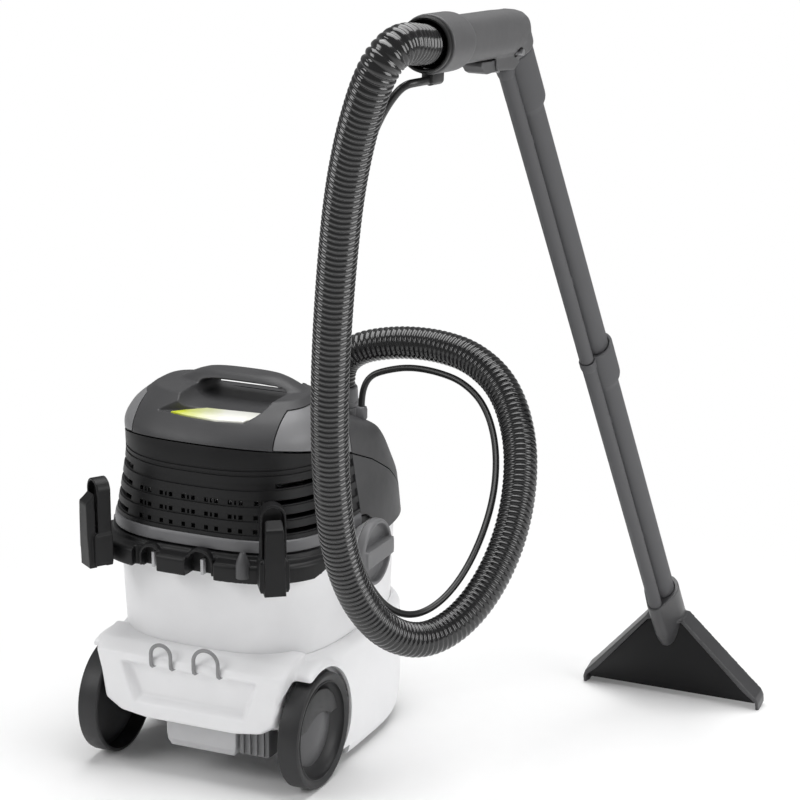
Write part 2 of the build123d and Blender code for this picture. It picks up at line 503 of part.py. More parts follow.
def main():
    make_container()
    make_wheels()
    make_casters()
    make_carrier()
    make_knobs()
    make_head()
    make_internals()
    make_couplings()
    make_handle()
    make_tube("lower", NOZZLE_RIM + TUBE_PITCH, -8)
    make_tube("upper", NOZZLE_RIM + 2 * TUBE_PITCH, 1)
    make_nozzle()
    boxes = [shape.bounding_box() for name, shape in nodes.items() if name not in CORDS]
    shift = Pos(-(min(b.min.X for b in boxes) + max(b.max.X for b in boxes)) / 2,
                -(min(b.min.Y for b in boxes) + max(b.max.Y for b in boxes)) / 2, -min(b.min.Z for b in boxes))
    print("machine's own origin in the part's frame", [round(v, 3) for v in shift.position])
    os.makedirs("parts", exist_ok=True)
    for name, shape in nodes.items():
        export_step(shift * shape, f"parts/{name}.step")


main()
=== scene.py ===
"""The looks of a spray-extraction carpet cleaner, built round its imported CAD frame.

Lengths in the classes are millimetres in the machine's own frame: +Z up, +Y to its front, +X to
its right, with the origin on the floor under the middle of the container. Bench turns them into
metres in the part's frame.
"""
from __future__ import annotations

import logging
import math
from dataclasses import dataclass, field
from enum import Enum
from typing import Sequence

import bmesh
import bpy
import numpy as np
from mathutils import Matrix, Vector

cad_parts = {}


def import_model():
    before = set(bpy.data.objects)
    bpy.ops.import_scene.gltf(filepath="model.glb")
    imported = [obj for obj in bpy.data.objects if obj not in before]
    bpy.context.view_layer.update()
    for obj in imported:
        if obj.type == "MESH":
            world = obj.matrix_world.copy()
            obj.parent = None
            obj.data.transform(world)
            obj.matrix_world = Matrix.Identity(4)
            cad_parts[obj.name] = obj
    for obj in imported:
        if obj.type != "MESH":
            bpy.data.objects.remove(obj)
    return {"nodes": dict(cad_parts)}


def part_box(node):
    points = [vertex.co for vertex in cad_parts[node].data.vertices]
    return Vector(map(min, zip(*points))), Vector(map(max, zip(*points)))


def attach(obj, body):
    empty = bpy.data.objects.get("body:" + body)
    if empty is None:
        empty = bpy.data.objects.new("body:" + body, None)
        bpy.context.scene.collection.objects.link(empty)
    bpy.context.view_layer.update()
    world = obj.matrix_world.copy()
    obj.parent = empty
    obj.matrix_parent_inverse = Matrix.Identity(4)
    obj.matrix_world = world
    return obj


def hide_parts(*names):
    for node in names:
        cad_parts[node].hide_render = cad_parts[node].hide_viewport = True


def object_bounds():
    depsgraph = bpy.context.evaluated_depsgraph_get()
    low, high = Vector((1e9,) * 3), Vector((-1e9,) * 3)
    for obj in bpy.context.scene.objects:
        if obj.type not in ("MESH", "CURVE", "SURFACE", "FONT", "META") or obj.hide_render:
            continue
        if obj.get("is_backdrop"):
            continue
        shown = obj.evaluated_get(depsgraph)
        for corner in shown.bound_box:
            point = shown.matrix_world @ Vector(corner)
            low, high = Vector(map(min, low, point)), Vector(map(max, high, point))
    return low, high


LOG = logging.getLogger("carpet_cleaner")
MM = 0.001
RING_POINTS = 176
TUB_POWER = 3.3

Point = tuple[float, float, float]
Flat = tuple[float, float]
Level = tuple[float, float, float, float]
Ring = list[Point]


# ---------------------------------------------------------------- finishes
@dataclass(frozen=True)
class Moulded:
    """A moulded plastic: colour, gloss, moulding grain and a faint unevenness of tone."""

    title: str
    colour: tuple[float, float, float]
    roughness: float = 0.45
    grain: float = 0.25
    grain_mm: float = 0.9
    mottle: float = 0.06
    coat: float = 0.0
    metallic: float = 0.0
    shine: float = 0.5

    def build(self) -> bpy.types.Material:
        """Makes the node material.

        Returns:
            The material, reading Object coordinates only.
        """
        material = bpy.data.materials.new(self.title)
        material.use_nodes = True
        tree = material.node_tree
        shader = tree.nodes["Principled BSDF"]
        shader.inputs["Metallic"].default_value = self.metallic
        shader.inputs["Coat Weight"].default_value = self.coat
        shader.inputs["Coat Roughness"].default_value = 0.12
        shader.inputs["Specular IOR Level"].default_value = self.shine
        place = tree.nodes.new("ShaderNodeTexCoord").outputs["Object"]
        self._tone(tree, shader, place)
        self._gloss(tree, shader, place)
        self._relief(tree, shader, place)
        return material

    def _noise(self, tree: bpy.types.NodeTree, place: bpy.types.NodeSocket, size_mm: float,
               detail: float) -> bpy.types.NodeSocket:
        """Adds a noise of the given size and returns its factor.

        Args:
            tree: the material's node tree.
            place: the coordinates it reads.
            size_mm: how far apart its lumps are.
            detail: how many finer layers it has.

        Returns:
            The noise's factor socket.
        """
        noise = tree.nodes.new("ShaderNodeTexNoise")
        noise.inputs["Scale"].default_value = 1.0 / (size_mm * MM)
        noise.inputs["Detail"].default_value = detail
        tree.links.new(place, noise.inputs["Vector"])
        return noise.outputs["Fac"]

    def _tone(self, tree: bpy.types.NodeTree, shader: bpy.types.Node, place: bpy.types.NodeSocket) -> None:
        """Lets the colour drift a little over the surface."""
        ramp = tree.nodes.new("ShaderNodeValToRGB")
        for stop, share in zip(ramp.color_ramp.elements, (1.0 - self.mottle, 1.0 + self.mottle)):
            stop.color = (*[min(1.0, channel * share) for channel in self.colour], 1.0)
        ramp.color_ramp.elements[0].position = 0.3
        ramp.color_ramp.elements[1].position = 0.7
        tree.links.new(self._noise(tree, place, 34.0, 3.0), ramp.inputs["Fac"])
        tree.links.new(ramp.outputs["Color"], shader.inputs["Base Color"])

    def _gloss(self, tree: bpy.types.NodeTree, shader: bpy.types.Node, place: bpy.types.NodeSocket) -> None:
        """Lets the roughness drift, as handling and moulding leave it."""
        spread = tree.nodes.new("ShaderNodeMapRange")
        spread.inputs["To Min"].default_value = max(0.05, self.roughness - 0.06)
        spread.inputs["To Max"].default_value = self.roughness + 0.06
        tree.links.new(self._noise(tree, place, 11.0, 4.0), spread.inputs["Value"])
        tree.links.new(spread.outputs["Result"], shader.inputs["Roughness"])

    def _relief(self, tree: bpy.types.NodeTree, shader: bpy.types.Node, place: bpy.types.NodeSocket) -> None:
        """Adds the fine moulding grain as bump."""
        bump = tree.nodes.new("ShaderNodeBump")
        bump.inputs["Strength"].default_value = self.grain
        bump.inputs["Distance"].default_value = 0.08 * MM
        tree.links.new(self._noise(tree, place, self.grain_mm, 2.0), bump.inputs["Height"])
        tree.links.new(bump.outputs["Normal"], shader.inputs["Normal"])


@dataclass(frozen=True)
class BadgeFilm:
    """A plain printed film that fades from yellow to white across the badge."""

    title: str
    low_x: float
    high_x: float
    yellow: tuple[float, float, float] = (0.62, 0.68, 0.04)
    white: tuple[float, float, float] = (0.84, 0.84, 0.78)

    def build(self) -> bpy.types.Material:
        """Makes the node material.

        Returns:
            The material: the fade runs along X of the part's frame, between low_x and high_x metres.
        """
        material = bpy.data.materials.new(self.title)
        material.use_nodes = True
        tree = material.node_tree
        shader = tree.nodes["Principled BSDF"]
        shader.inputs["Roughness"].default_value = 0.28
        place = tree.nodes.new("ShaderNodeTexCoord").outputs["Object"]
        parts = tree.nodes.new("ShaderNodeSeparateXYZ")
        spread = tree.nodes.new("ShaderNodeMapRange")
        spread.inputs["From Min"].default_value = self.low_x
        spread.inputs["From Max"].default_value = self.high_x
        wave = tree.nodes.new("ShaderNodeTexNoise")
        wave.inputs["Scale"].default_value = 60.0
        mix = tree.nodes.new("ShaderNodeMath")
        mix.operation = "MULTIPLY_ADD"
        mix.inputs[1].default_value = 0.35
        ramp = tree.nodes.new("ShaderNodeValToRGB")
        ramp.color_ramp.elements[0].color = (*self.yellow, 1.0)
        ramp.color_ramp.elements[1].color = (*self.white, 1.0)
        ramp.color_ramp.elements[0].position = 0.25
        ramp.color_ramp.elements[1].position = 0.85
        tree.links.new(place, parts.inputs["Vector"])
        tree.links.new(place, wave.inputs["Vector"])
        tree.links.new(parts.outputs["X"], spread.inputs["Value"])
        tree.links.new(wave.outputs["Fac"], mix.inputs[0])
        tree.links.new(spread.outputs["Result"], mix.inputs[2])
        tree.links.new(mix.outputs["Value"], ramp.inputs["Fac"])
        tree.links.new(ramp.outputs["Color"], shader.inputs["Base Color"])
        return material


class Finish(Enum):
    """The plastics and metals of this machine, each with the record's slot that it belongs to."""

    WHITE = ("white_shell", Moulded("milky_container_plastic", (0.80, 0.80, 0.81), 0.40, 0.12, 1.4, 0.015))
    SKIRT = ("white_shell", Moulded("white_skirt_plastic", (0.84, 0.84, 0.85), 0.38, 0.10, 1.4, 0.012))
    PALE = ("light_grey", Moulded("pale_grey_plastic", (0.50, 0.50, 0.51), 0.45, 0.2, 1.1, 0.03))
    BLACK = ("black_shell", Moulded("grained_black_plastic", (0.007, 0.007, 0.0075), 0.42, 0.35, 0.8, 0.12,
                                    shine=0.28))
    COVER = ("dark_shell", Moulded("grained_charcoal_plastic", (0.044, 0.044, 0.046), 0.47, 0.40, 0.8, 0.08,
                                   shine=0.4))
    TRIM = ("grey_trim", Moulded("mid_grey_plastic", (0.17, 0.17, 0.175), 0.45, 0.30, 0.8, 0.05))
    BAND = ("grey_trim", Moulded("rim_band_plastic", (0.135, 0.135, 0.14), 0.42, 0.30, 0.8, 0.05))
    HOOK = ("grey_trim", Moulded("hook_plastic", (0.25, 0.25, 0.255), 0.40, 0.25, 0.8, 0.05))
    WHEEL = ("tyre_rubber", Moulded("wheel_plastic", (0.020, 0.020, 0.021), 0.46, 0.40, 1.0, 0.10, shine=0.4))
    HUB = ("dark_shell", Moulded("hub_plastic", (0.075, 0.075, 0.078), 0.45, 0.35, 0.9, 0.06))
    WAND = ("wand_plastic", Moulded("wand_plastic", (0.034, 0.034, 0.036), 0.44, 0.35, 0.8, 0.07, shine=0.4))
    GRIP = ("wand_plastic", Moulded("grip_plastic", (0.085, 0.085, 0.087), 0.46, 0.40, 0.7, 0.06))
    NOZZLE = ("wand_plastic", Moulded("nozzle_plastic", (0.045, 0.045, 0.047), 0.36, 0.20, 0.9, 0.08))
    FACE = ("nozzle_black", Moulded("nozzle_face_plastic", (0.004, 0.004, 0.0045), 0.34, 0.10, 1.0, 0.10,
                                    shine=0.2))
    INK = ("nozzle_black", Moulded("collar_black_plastic", (0.008, 0.008, 0.008), 0.35, 0.15, 1.0, 0.10))
    HOSE = ("hose_plastic", Moulded("glossy_hose_plastic", (0.006, 0.006, 0.0065), 0.17, 0.08, 1.2, 0.15,
                                    coat=0.5))
    SPRAY = ("spray_rubber", Moulded("spray_hose_rubber", (0.012, 0.012, 0.012), 0.34, 0.15, 0.9, 0.15))
    STEEL = ("steel", Moulded("turned_steel", (0.55, 0.55, 0.56), 0.30, 0.10, 0.5, 0.05, metallic=1.0))
    BRASS = ("brass", Moulded("machined_brass", (0.60, 0.42, 0.16), 0.30, 0.10, 0.5, 0.05, metallic=1.0))
    TANK = ("tank_clear", Moulded("frosted_tank_plastic", (0.62, 0.64, 0.66), 0.35, 0.10, 1.5, 0.03))
    SEAL = ("seal_rubber", Moulded("seal_rubber", (0.03, 0.03, 0.03), 0.6, 0.25, 0.8, 0.1))

    @property
    def slot(self) -> str:
        """The record's material slot."""
        return self.value[0]

    @property
    def material(self) -> bpy.types.Material:
        """The built material, made once."""
        made = bpy.data.materials.get(self.value[1].title)
        return made or self.value[1].build()


class Keep(Enum):
    """What a boolean leaves."""

    OUTSIDE = "DIFFERENCE"
    INSIDE = "INTERSECT"
    BOTH = "UNION"


# ---------------------------------------------------------------- shapes
def even_oval(half: float, rear: float, front: float, z: float, power: float, count: int,
              front_power: float | None = None) -> Ring:
    """A level superellipse with its points spaced evenly.

    Args:
        half: half its width along X.
        rear: its lowest Y.
        front: its highest Y.
        z: its height.
        power: 2 for an ellipse, more for squarer corners.
        count: how many points.
        front_power: the same for the front half, where it differs.

    Returns:
        The points, anticlockwise from +X.
    """
    turn = np.linspace(0.0, 2.0 * math.pi, 1441)
    cosine, sine = np.cos(turn), np.sin(turn)
    share = np.where(sine < 0.0, 2.0 / power, 2.0 / (front_power or power))
    x = half * np.sign(cosine) * np.abs(cosine) ** share
    y = (rear + front) / 2 + (front - rear) / 2 * np.sign(sine) * np.abs(sine) ** share
    run = np.concatenate([[0.0], np.cumsum(np.hypot(np.diff(x), np.diff(y)))])
    wanted = np.linspace(0.0, run[-1], count, endpoint=False)
    return [(float(a), float(b), z) for a, b in zip(np.interp(wanted, run, x), np.interp(wanted, run, y))]


def smooth_levels(levels: Sequence[Level], step: float) -> list[Level]:
    """Levels every few millimetres on monotone curves through the given ones.

    Args:
        levels: (z, half width, rear, front), from low to high.
        step: about how far apart the new ones are.

    Returns:
        The dense levels, the given ones among them.
    """
    table = np.array(levels, float)
    z, rest = table[:, 0], table[:, 1:]
    gap = np.diff(z)
    slope = np.diff(rest, axis=0) / gap[:, None]
    rate = np.zeros_like(rest)
    rate[0], rate[-1] = slope[0], slope[-1]
    for k in range(1, len(z) - 1):
        same = slope[k - 1] * slope[k] > 0
        mean = 2 * slope[k - 1] * slope[k] / np.where(same, slope[k - 1] + slope[k], 1.0)
        rate[k] = np.where(same, mean, 0.0)
    dense: list[Level] = []
    for k, width in enumerate(gap):
        parts = max(1, round(width / step))
        for j in range(parts):
            t = j / parts
            basis = ((1 + 2 * t) * (1 - t) ** 2, t * (1 - t) ** 2, t * t * (3 - 2 * t), t * t * (t - 1))
            row = (basis[0] * rest[k] + basis[1] * width * rate[k] + basis[2] * rest[k + 1]
                   + basis[3] * width * rate[k + 1])
            dense.append((float(z[k] + t * width), *[float(value) for value in row]))
    dense.append(tuple(float(value) for value in table[-1]))
    return dense


def head_ring(level: Level, count: int = RING_POINTS) -> Ring:
    """A level ring of the head: its rear corners get rounder and its front squarer with height.

    Args:
        level: (z, half width, rear, front).
        count: how many points.

    Returns:
        The ring's points.
    """
    z, half, rear, front = level
    rear_power = float(np.interp(z, (309.0, 412.0), (3.3, 2.35)))
    front_power = float(np.interp(z, (309.0, 380.0), (3.3, 4.0)))
    return even_oval(half, rear, front, z, rear_power, count, front_power)


def inset(levels: Sequence[Level], by: float) -> list[Level]:
    """The same levels pulled in all round."""
    return [(z, half - by, rear + by, front - by) for z, half, rear, front in levels]


def rod(start: float, end: float, radius: float) -> list[Flat]:
    """The turned profile of a plain round rod or hole, from one distance along its axis to another."""
    return [(start, 0.0), (start, radius), (end, radius), (end, 0.0)]


def arc(x: float, z: float, radius: float, steps: int) -> list[Flat]:
    """Points over the upper half of a circle, from its right to its left."""
    turns = (math.pi * k / steps for k in range(steps + 1))
    return [(x + radius * math.cos(turn), z + radius * math.sin(turn)) for turn in turns]


@dataclass
class Bench:
    """The work bench: the frame, its place, and the ways of making and dressing a mesh."""

    power: float = TUB_POWER
    count: int = RING_POINTS
    parts: dict[str, bpy.types.Object] = field(default_factory=dict)
    shift: Vector = field(default_factory=Vector)
    cad_box: tuple[Vector, Vector] = field(default_factory=lambda: (Vector(), Vector()))

    def __post_init__(self) -> None:
        """Loads the frame and finds the machine's own origin from its two wheels."""
        self.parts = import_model()["nodes"]
        self.cad_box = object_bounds()
        left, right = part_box("wheel_left"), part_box("wheel_right")
        middle_y = (left[0].y + left[1].y) / 2
        self.shift = Vector(((left[0].x + right[1].x) / 2, middle_y - Wheels.axle_y * MM, 0.0))

    def at(self, x: float, y: float, z: float) -> Vector:
        """A machine point in millimetres as a point of the part's frame in metres."""
        return Vector((x, y, z)) * MM + self.shift

    # ---- makers
    def mesh(self, name: str, points: Sequence[Sequence[float]],
             faces: Sequence[Sequence[int]]) -> bpy.types.Object:
        """A new object from points and faces, still in millimetres."""
        data = bpy.data.meshes.new(name)
        data.from_pydata([tuple(p) for p in points], [], [tuple(f) for f in faces])
        data.validate()
        made = bpy.data.objects.new(name, data)
        bpy.context.scene.collection.objects.link(made)
        return made

    def skin(self, name: str, rings: Sequence[Ring], capped: bool = True,
             looped: bool = False) -> bpy.types.Object:
        """A skin through rings of equal count.

        Args:
            name: the object's name.
            rings: the rings, in order.
            capped: whether the two ends are closed with a face each.
            looped: whether the last ring joins the first.

        Returns:
            The object.
        """
        count = len(rings[0])
        points = [p for ring in rings for p in ring]
        faces = []
        last = len(rings) if looped else len(rings) - 1
        for r in range(last):
            low, high = r * count, ((r + 1) % len(rings)) * count
            for k in range(count):
                n = (k + 1) % count
                faces.append((low + k, low + n, high + n, high + k))
        if capped and not looped:
            faces.append(tuple(reversed(range(count))))
            faces.append(tuple(range((len(rings) - 1) * count, len(rings) * count)))
        return self.outward(self.mesh(name, points, faces))

    def outward(self, thing: bpy.types.Object) -> bpy.types.Object:
        """Turns every face of a closed mesh outwards."""
        work = bmesh.new()
        work.from_mesh(thing.data)
        bmesh.ops.recalc_face_normals(work, faces=work.faces)
        work.to_mesh(thing.data)
        work.free()
        return thing

    def ovals(self, levels: Sequence[Level]) -> list[Ring]:
        """One level oval for each level."""
        return [even_oval(half, rear, front, z, self.power, self.count) for z, half, rear, front in levels]

    def loft(self, name: str, levels: Sequence[Level], step: float = 4.0) -> bpy.types.Object:
        """A closed solid through level ovals."""
        return self.skin(name, self.ovals(smooth_levels(levels, step)))

    def shell(self, name: str, outer: Sequence[Level], inner: Sequence[Level]) -> bpy.types.Object:
        """A walled shell between two stacks of ovals, open at its foot.

        Args:
            name: the object's name.
            outer: dense levels of the outside, from low to high.
            inner: dense levels of the inside, from low to high.

        Returns:
            The object.
        """
        up = [head_ring(level, self.count) for level in outer]
        down = [head_ring(level, self.count) for level in reversed(inner)]
        count = self.count
        rings = up + down
        points = [p for ring in rings for p in ring]
        faces = []
        for r in range(len(rings) - 1):
            if r == len(up) - 1:
                continue
            for k in range(count):
                n = (k + 1) % count
                faces.append((r * count + k, r * count + n, (r + 1) * count + n, (r + 1) * count + k))
        top, under = (len(up) - 1) * count, len(up) * count
        faces.append(tuple(range(top, top + count)))
        faces.append(tuple(range(under, under + count)))
        foot = (len(rings) - 1) * count
        for k in range(count):
            n = (k + 1) % count
            faces.append((foot + k, foot + n, n, k))
        return self.outward(self.mesh(name, points, faces))

    def lathe(self, name: str, origin: Point, axis: Sequence[float], profile: Sequence[Flat],
              segments: int = 72,
              looped: bool = False) -> bpy.types.Object:
        """A turned shape.

        Args:
            name: the object's name.
            origin: a point on its axis.
            axis: the axis's direction.
            profile: (distance along the axis, radius) in order.
            segments: how many sides it has.
            looped: whether the profile is a closed loop, as on a ring.

        Returns:
            The object.
        """
        along = Vector(axis).normalized()
        across = along.orthogonal().normalized()
        other = along.cross(across)
        rings = []
        for distance, radius in profile:
            centre = Vector(origin) + along * distance
            rings.append([tuple(centre + (across * math.cos(a) + other * math.sin(a)) * max(radius, 0.01))
                          for a in (2 * math.pi * k / segments for k in range(segments))])
        return self.skin(name, rings, capped=not looped, looped=looped)

    def prism(self, name: str, outline: Sequence[Flat], axis: int, start: float,
              end: float) -> bpy.types.Object:
        """A prism along one axis from a flat outline of its other two axes, in X, Y, Z order."""
        rings = []
        for place in (start, end):
            ring = []
            for a, b in outline:
                p = [a, b]
                p.insert(axis, place)
                ring.append(tuple(p))
            rings.append(ring)
        return self.skin(name, rings)

    def brick(self, name: str, low: Point, high: Point) -> bpy.types.Object:
        """A box from two corners."""
        outline = [(low[0], low[1]), (high[0], low[1]), (high[0], high[1]), (low[0], high[1])]
        return self.prism(name, outline, 2, low[2], high[2])

    def strand(self, name: str, route: Sequence[Point], radius: float, sides: int = 18) -> bpy.types.Object:
        """A round bar along a route of many points."""
        points = [Vector(p) for p in route]
        rings = []
        side = (points[1] - points[0]).orthogonal().normalized()
        for k, here in enumerate(points):
            ahead = points[min(k + 1, len(points) - 1)] - points[max(k - 1, 0)]
            ahead.normalize()
            side = (side - ahead * side.dot(ahead)).normalized()
            other = ahead.cross(side)
            rings.append([tuple(here + (side * math.cos(a) + other * math.sin(a)) * radius)
                          for a in (2 * math.pi * j / sides for j in range(sides))])
        return self.skin(name, rings)

    # ---- changers
    def baked(self, thing: bpy.types.Object) -> bpy.types.Object:
        """Turns an object's modifiers into its mesh and removes them."""
        graph = bpy.context.evaluated_depsgraph_get()
        data = bpy.data.meshes.new_from_object(thing.evaluated_get(graph), depsgraph=graph)
        thing.modifiers.clear()
        thing.data = data
        return thing

    def carve(self, target: bpy.types.Object, tool: bpy.types.Object, keep: Keep = Keep.OUTSIDE,
              spare: bool = False) -> bpy.types.Object:
        """Cuts, keeps or adds with another closed mesh.

        Args:
            target: the object that changes.
            tool: the closed mesh it meets.
            keep: what is left.
            spare: whether the tool is kept for another cut.

        Returns:
            The target.
        """
        for solver in ("MANIFOLD", "EXACT"):
            modifier = target.modifiers.new("carve", "BOOLEAN")
            modifier.operation = keep.value
            modifier.object = tool
            modifier.solver = solver
            graph = bpy.context.evaluated_depsgraph_get()
            data = bpy.data.meshes.new_from_object(target.evaluated_get(graph), depsgraph=graph)
            target.modifiers.clear()
            if len(data.polygons) > 3:
                target.data = data
                break
            LOG.warning("%s: %s solver left nothing", target.name, solver)
        if not spare:
            bpy.data.objects.remove(tool)
        return target

    def copy(self, thing: bpy.types.Object, name: str) -> bpy.types.Object:
        """A separate copy of an object and its mesh."""
        made = thing.copy()
        made.data = thing.data.copy()
        made.name = name
        bpy.context.scene.collection.objects.link(made)
        return made

    def joined(self, name: str, things: Sequence[bpy.types.Object]) -> bpy.types.Object:
        """One object from several, which are removed."""
        points: list[Sequence[float]] = []
        faces: list[Sequence[int]] = []
        for thing in things:
            base = len(points)
            points.extend(tuple(v.co) for v in thing.data.vertices)
            faces.extend(tuple(base + i for i in face.vertices) for face in thing.data.polygons)
            bpy.data.objects.remove(thing)
        return self.mesh(name, points, faces)

    def melt(self, name: str, things: Sequence[bpy.types.Object], voxel: float,
             rounds: int) -> bpy.types.Object:
        """Melts closed solids into one with small fillets where they meet.

        Args:
            name: the object's name.
            things: the solids, which are used up.
            voxel: the size of the new mesh's squares.
            rounds: how many times it is smoothed.

        Returns:
            The melted object.
        """
        whole = self.joined(name, things)
        remesh = whole.modifiers.new("melt", "REMESH")
        remesh.mode = "VOXEL"
        remesh.voxel_size = voxel
        smooth = whole.modifiers.new("smooth", "SMOOTH")
        smooth.factor = 0.5
        smooth.iterations = rounds
        return self.baked(whole)

    def rounded(self, thing: bpy.types.Object, width: float, angle: float = 35.0,
                segments: int = 2) -> bpy.types.Object:
        """Rounds a mesh's sharp edges."""
        bevel = thing.modifiers.new("round", "BEVEL")
        bevel.width = width
        bevel.segments = segments
        bevel.limit_method = "ANGLE"
        bevel.angle_limit = math.radians(angle)
        bevel.use_clamp_overlap = True
        return self.baked(thing)

    # ---- dressing
    def dress(self, thing: bpy.types.Object, finish: Finish, body: str, *nodes: str,
              crease: float = 32.0) -> bpy.types.Object:
        """Places a piece in the part's frame, gives it its finish and hands it to its body.

        Args:
            thing: the piece, in millimetres.
            finish: its finish.
            body: the body it rides on.
            nodes: the CAD nodes that it stands for.
            crease: the angle in degrees past which an edge stays sharp.

        Returns:
            The piece.
        """
        thing.data.transform(Matrix.Translation(self.shift) @ Matrix.Scale(MM, 4))
        thing.data.materials.clear()
        thing.data.materials.append(finish.material)
        thing.data.shade_smooth()
        thing.data.set_sharp_from_angle(angle=math.radians(crease))
        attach(thing, body)
        if nodes:
            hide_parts(*nodes)
        LOG.info("%s: %d faces on %s", thing.name, len(thing.data.polygons), body)
        return thing

    def paint(self, finish: Finish, *nodes: str) -> None:
        """Gives CAD nodes that stay a finish."""
        for node in nodes:
            thing = self.parts[node]
            if not thing.material_slots:
                thing.data.materials.append(finish.material)
            for place in thing.material_slots:
                place.material = finish.material


# ---------------------------------------------------------------- geometry nodes
@dataclass
class Tree:
    """A geometry node tree built in the script, and its use on an object."""

    title: str
    group: bpy.types.NodeTree = field(init=False)
    source: bpy.types.Node = field(init=False)

    def __post_init__(self) -> None:
        """Makes the empty tree with its geometry input and output."""
        self.group = bpy.data.node_groups.new(self.title, "GeometryNodeTree")
        self.group.interface.new_socket("Geometry", in_out="INPUT", socket_type="NodeSocketGeometry")
        self.group.interface.new_socket("Geometry", in_out="OUTPUT", socket_type="NodeSocketGeometry")
        self.source = self.group.nodes.new("NodeGroupInput")

    def number(self, name: str, whole: bool = False) -> bpy.types.NodeSocket:
        """Adds a named size to the tree and returns its socket."""
        self.group.interface.new_socket(name, in_out="INPUT", socket_type="NodeSocketInt" if whole
                                        else "NodeSocketFloat")
        return self.source.outputs[name]

    def node(self, kind: str, **inputs: object) -> bpy.types.Node:
        """Adds a node and sets or links its inputs by name."""
        made = self.group.nodes.new(kind)
        for name, value in inputs.items():
            self.feed(made, name.replace("_", " "), value)
        return made

    def feed(self, node: bpy.types.Node, name: str | int, value: object) -> None:
        """Links a socket or sets a value."""
        if isinstance(value, bpy.types.NodeSocket):
            self.group.links.new(value, node.inputs[name])
        else:
            node.inputs[name].default_value = value

    def maths(self, operation: str, first: object, second: object | None = None) -> bpy.types.NodeSocket:
        """Adds a Math node and returns its value."""
        made = self.group.nodes.new("ShaderNodeMath")
        made.operation = operation
        self.feed(made, 0, first)
        if second is not None:
            self.feed(made, 1, second)
        return made.outputs[0]

    def end(self, geometry: bpy.types.NodeSocket, material: bpy.types.Material) -> None:
        """Closes the tree with Realize Instances and Set Material."""
        real = self.node("GeometryNodeRealizeInstances", Geometry=geometry)
        coated = self.node("GeometryNodeSetMaterial", Geometry=real.outputs[0], Material=material)
        self.group.links.new(coated.outputs[0], self.group.nodes.new("NodeGroupOutput").inputs[0])

    def use(self, bench: Bench, thing: bpy.types.Object, **sizes: float) -> bpy.types.Object:
        """Runs the tree on an object with the given sizes and keeps the plain mesh."""
        modifier = thing.modifiers.new(self.title, "NODES")
        modifier.node_group = self.group
        for item in self.group.interface.items_tree:
            if item.in_out == "INPUT" and item.name.replace(" ", "_") in sizes:
                modifier[item.identifier] = sizes[item.name.replace(" ", "_")]
        return bench.baked(thing)


def block_array(title: str, material: bpy.types.Material) -> Tree:
    """A tree that puts a block on every point of the object.

    Args:
        title: the tree's name.
        material: what the blocks are made of.

    Returns:
        The tree, with Width, Depth and Height for the blocks.
    """
    tree = Tree(title)
    size = tree.node("ShaderNodeCombineXYZ", X=tree.number("Width"), Y=tree.number("Depth"),
                     Z=tree.number("Height"))
    block = tree.node("GeometryNodeMeshCube", Size=size.outputs[0])
    points = tree.node("GeometryNodeMeshToPoints", Mesh=tree.source.outputs["Geometry"])
    spread = tree.node("GeometryNodeInstanceOnPoints", Points=points.outputs[0],
                       Instance=block.outputs["Mesh"])
    tree.end(spread.outputs[0], material)
    return tree


def ringed_tube(title: str, material: bpy.types.Material) -> Tree:
    """A tree that makes a corrugated tube along the object's edges.

    Args:
        title: the tree's name.
        material: what the tube is made of.

    Returns:
        The tree, with Rings, Steps, Crest, Valley and Sides.
    """
    tree = Tree(title)
    rings, steps = tree.number("Rings", True), tree.number("Steps", True)
    crest, valley, sides = tree.number("Crest"), tree.number("Valley"), tree.number("Sides", True)
    line = tree.node("GeometryNodeMeshToCurve", Mesh=tree.source.outputs["Geometry"])
    total = tree.maths("ADD", tree.maths("MULTIPLY", rings, steps), 1.0)
    dense = tree.node("GeometryNodeResampleCurve", Curve=line.outputs[0], Count=total)
    place = tree.node("GeometryNodeInputIndex").outputs[0]
    turn = tree.maths("MULTIPLY", tree.maths("DIVIDE", place, steps), math.pi)
    wave = tree.maths("POWER", tree.maths("ABSOLUTE", tree.maths("SINE", turn)), 0.7)
    radius = tree.maths("ADD", valley, tree.maths("MULTIPLY", wave, tree.maths("SUBTRACT", crest, valley)))
    circle = tree.node("GeometryNodeCurvePrimitiveCircle", Resolution=sides, Radius=1.0)
    tube = tree.node("GeometryNodeCurveToMesh", Curve=dense.outputs[0], Profile_Curve=circle.outputs[0],
                     Scale=radius)
    tree.feed(tube, "Fill Caps", True)
    smooth = tree.node("GeometryNodeSetShadeSmooth", Geometry=tube.outputs[0])
    tree.end(smooth.outputs[0], material)
    return tree


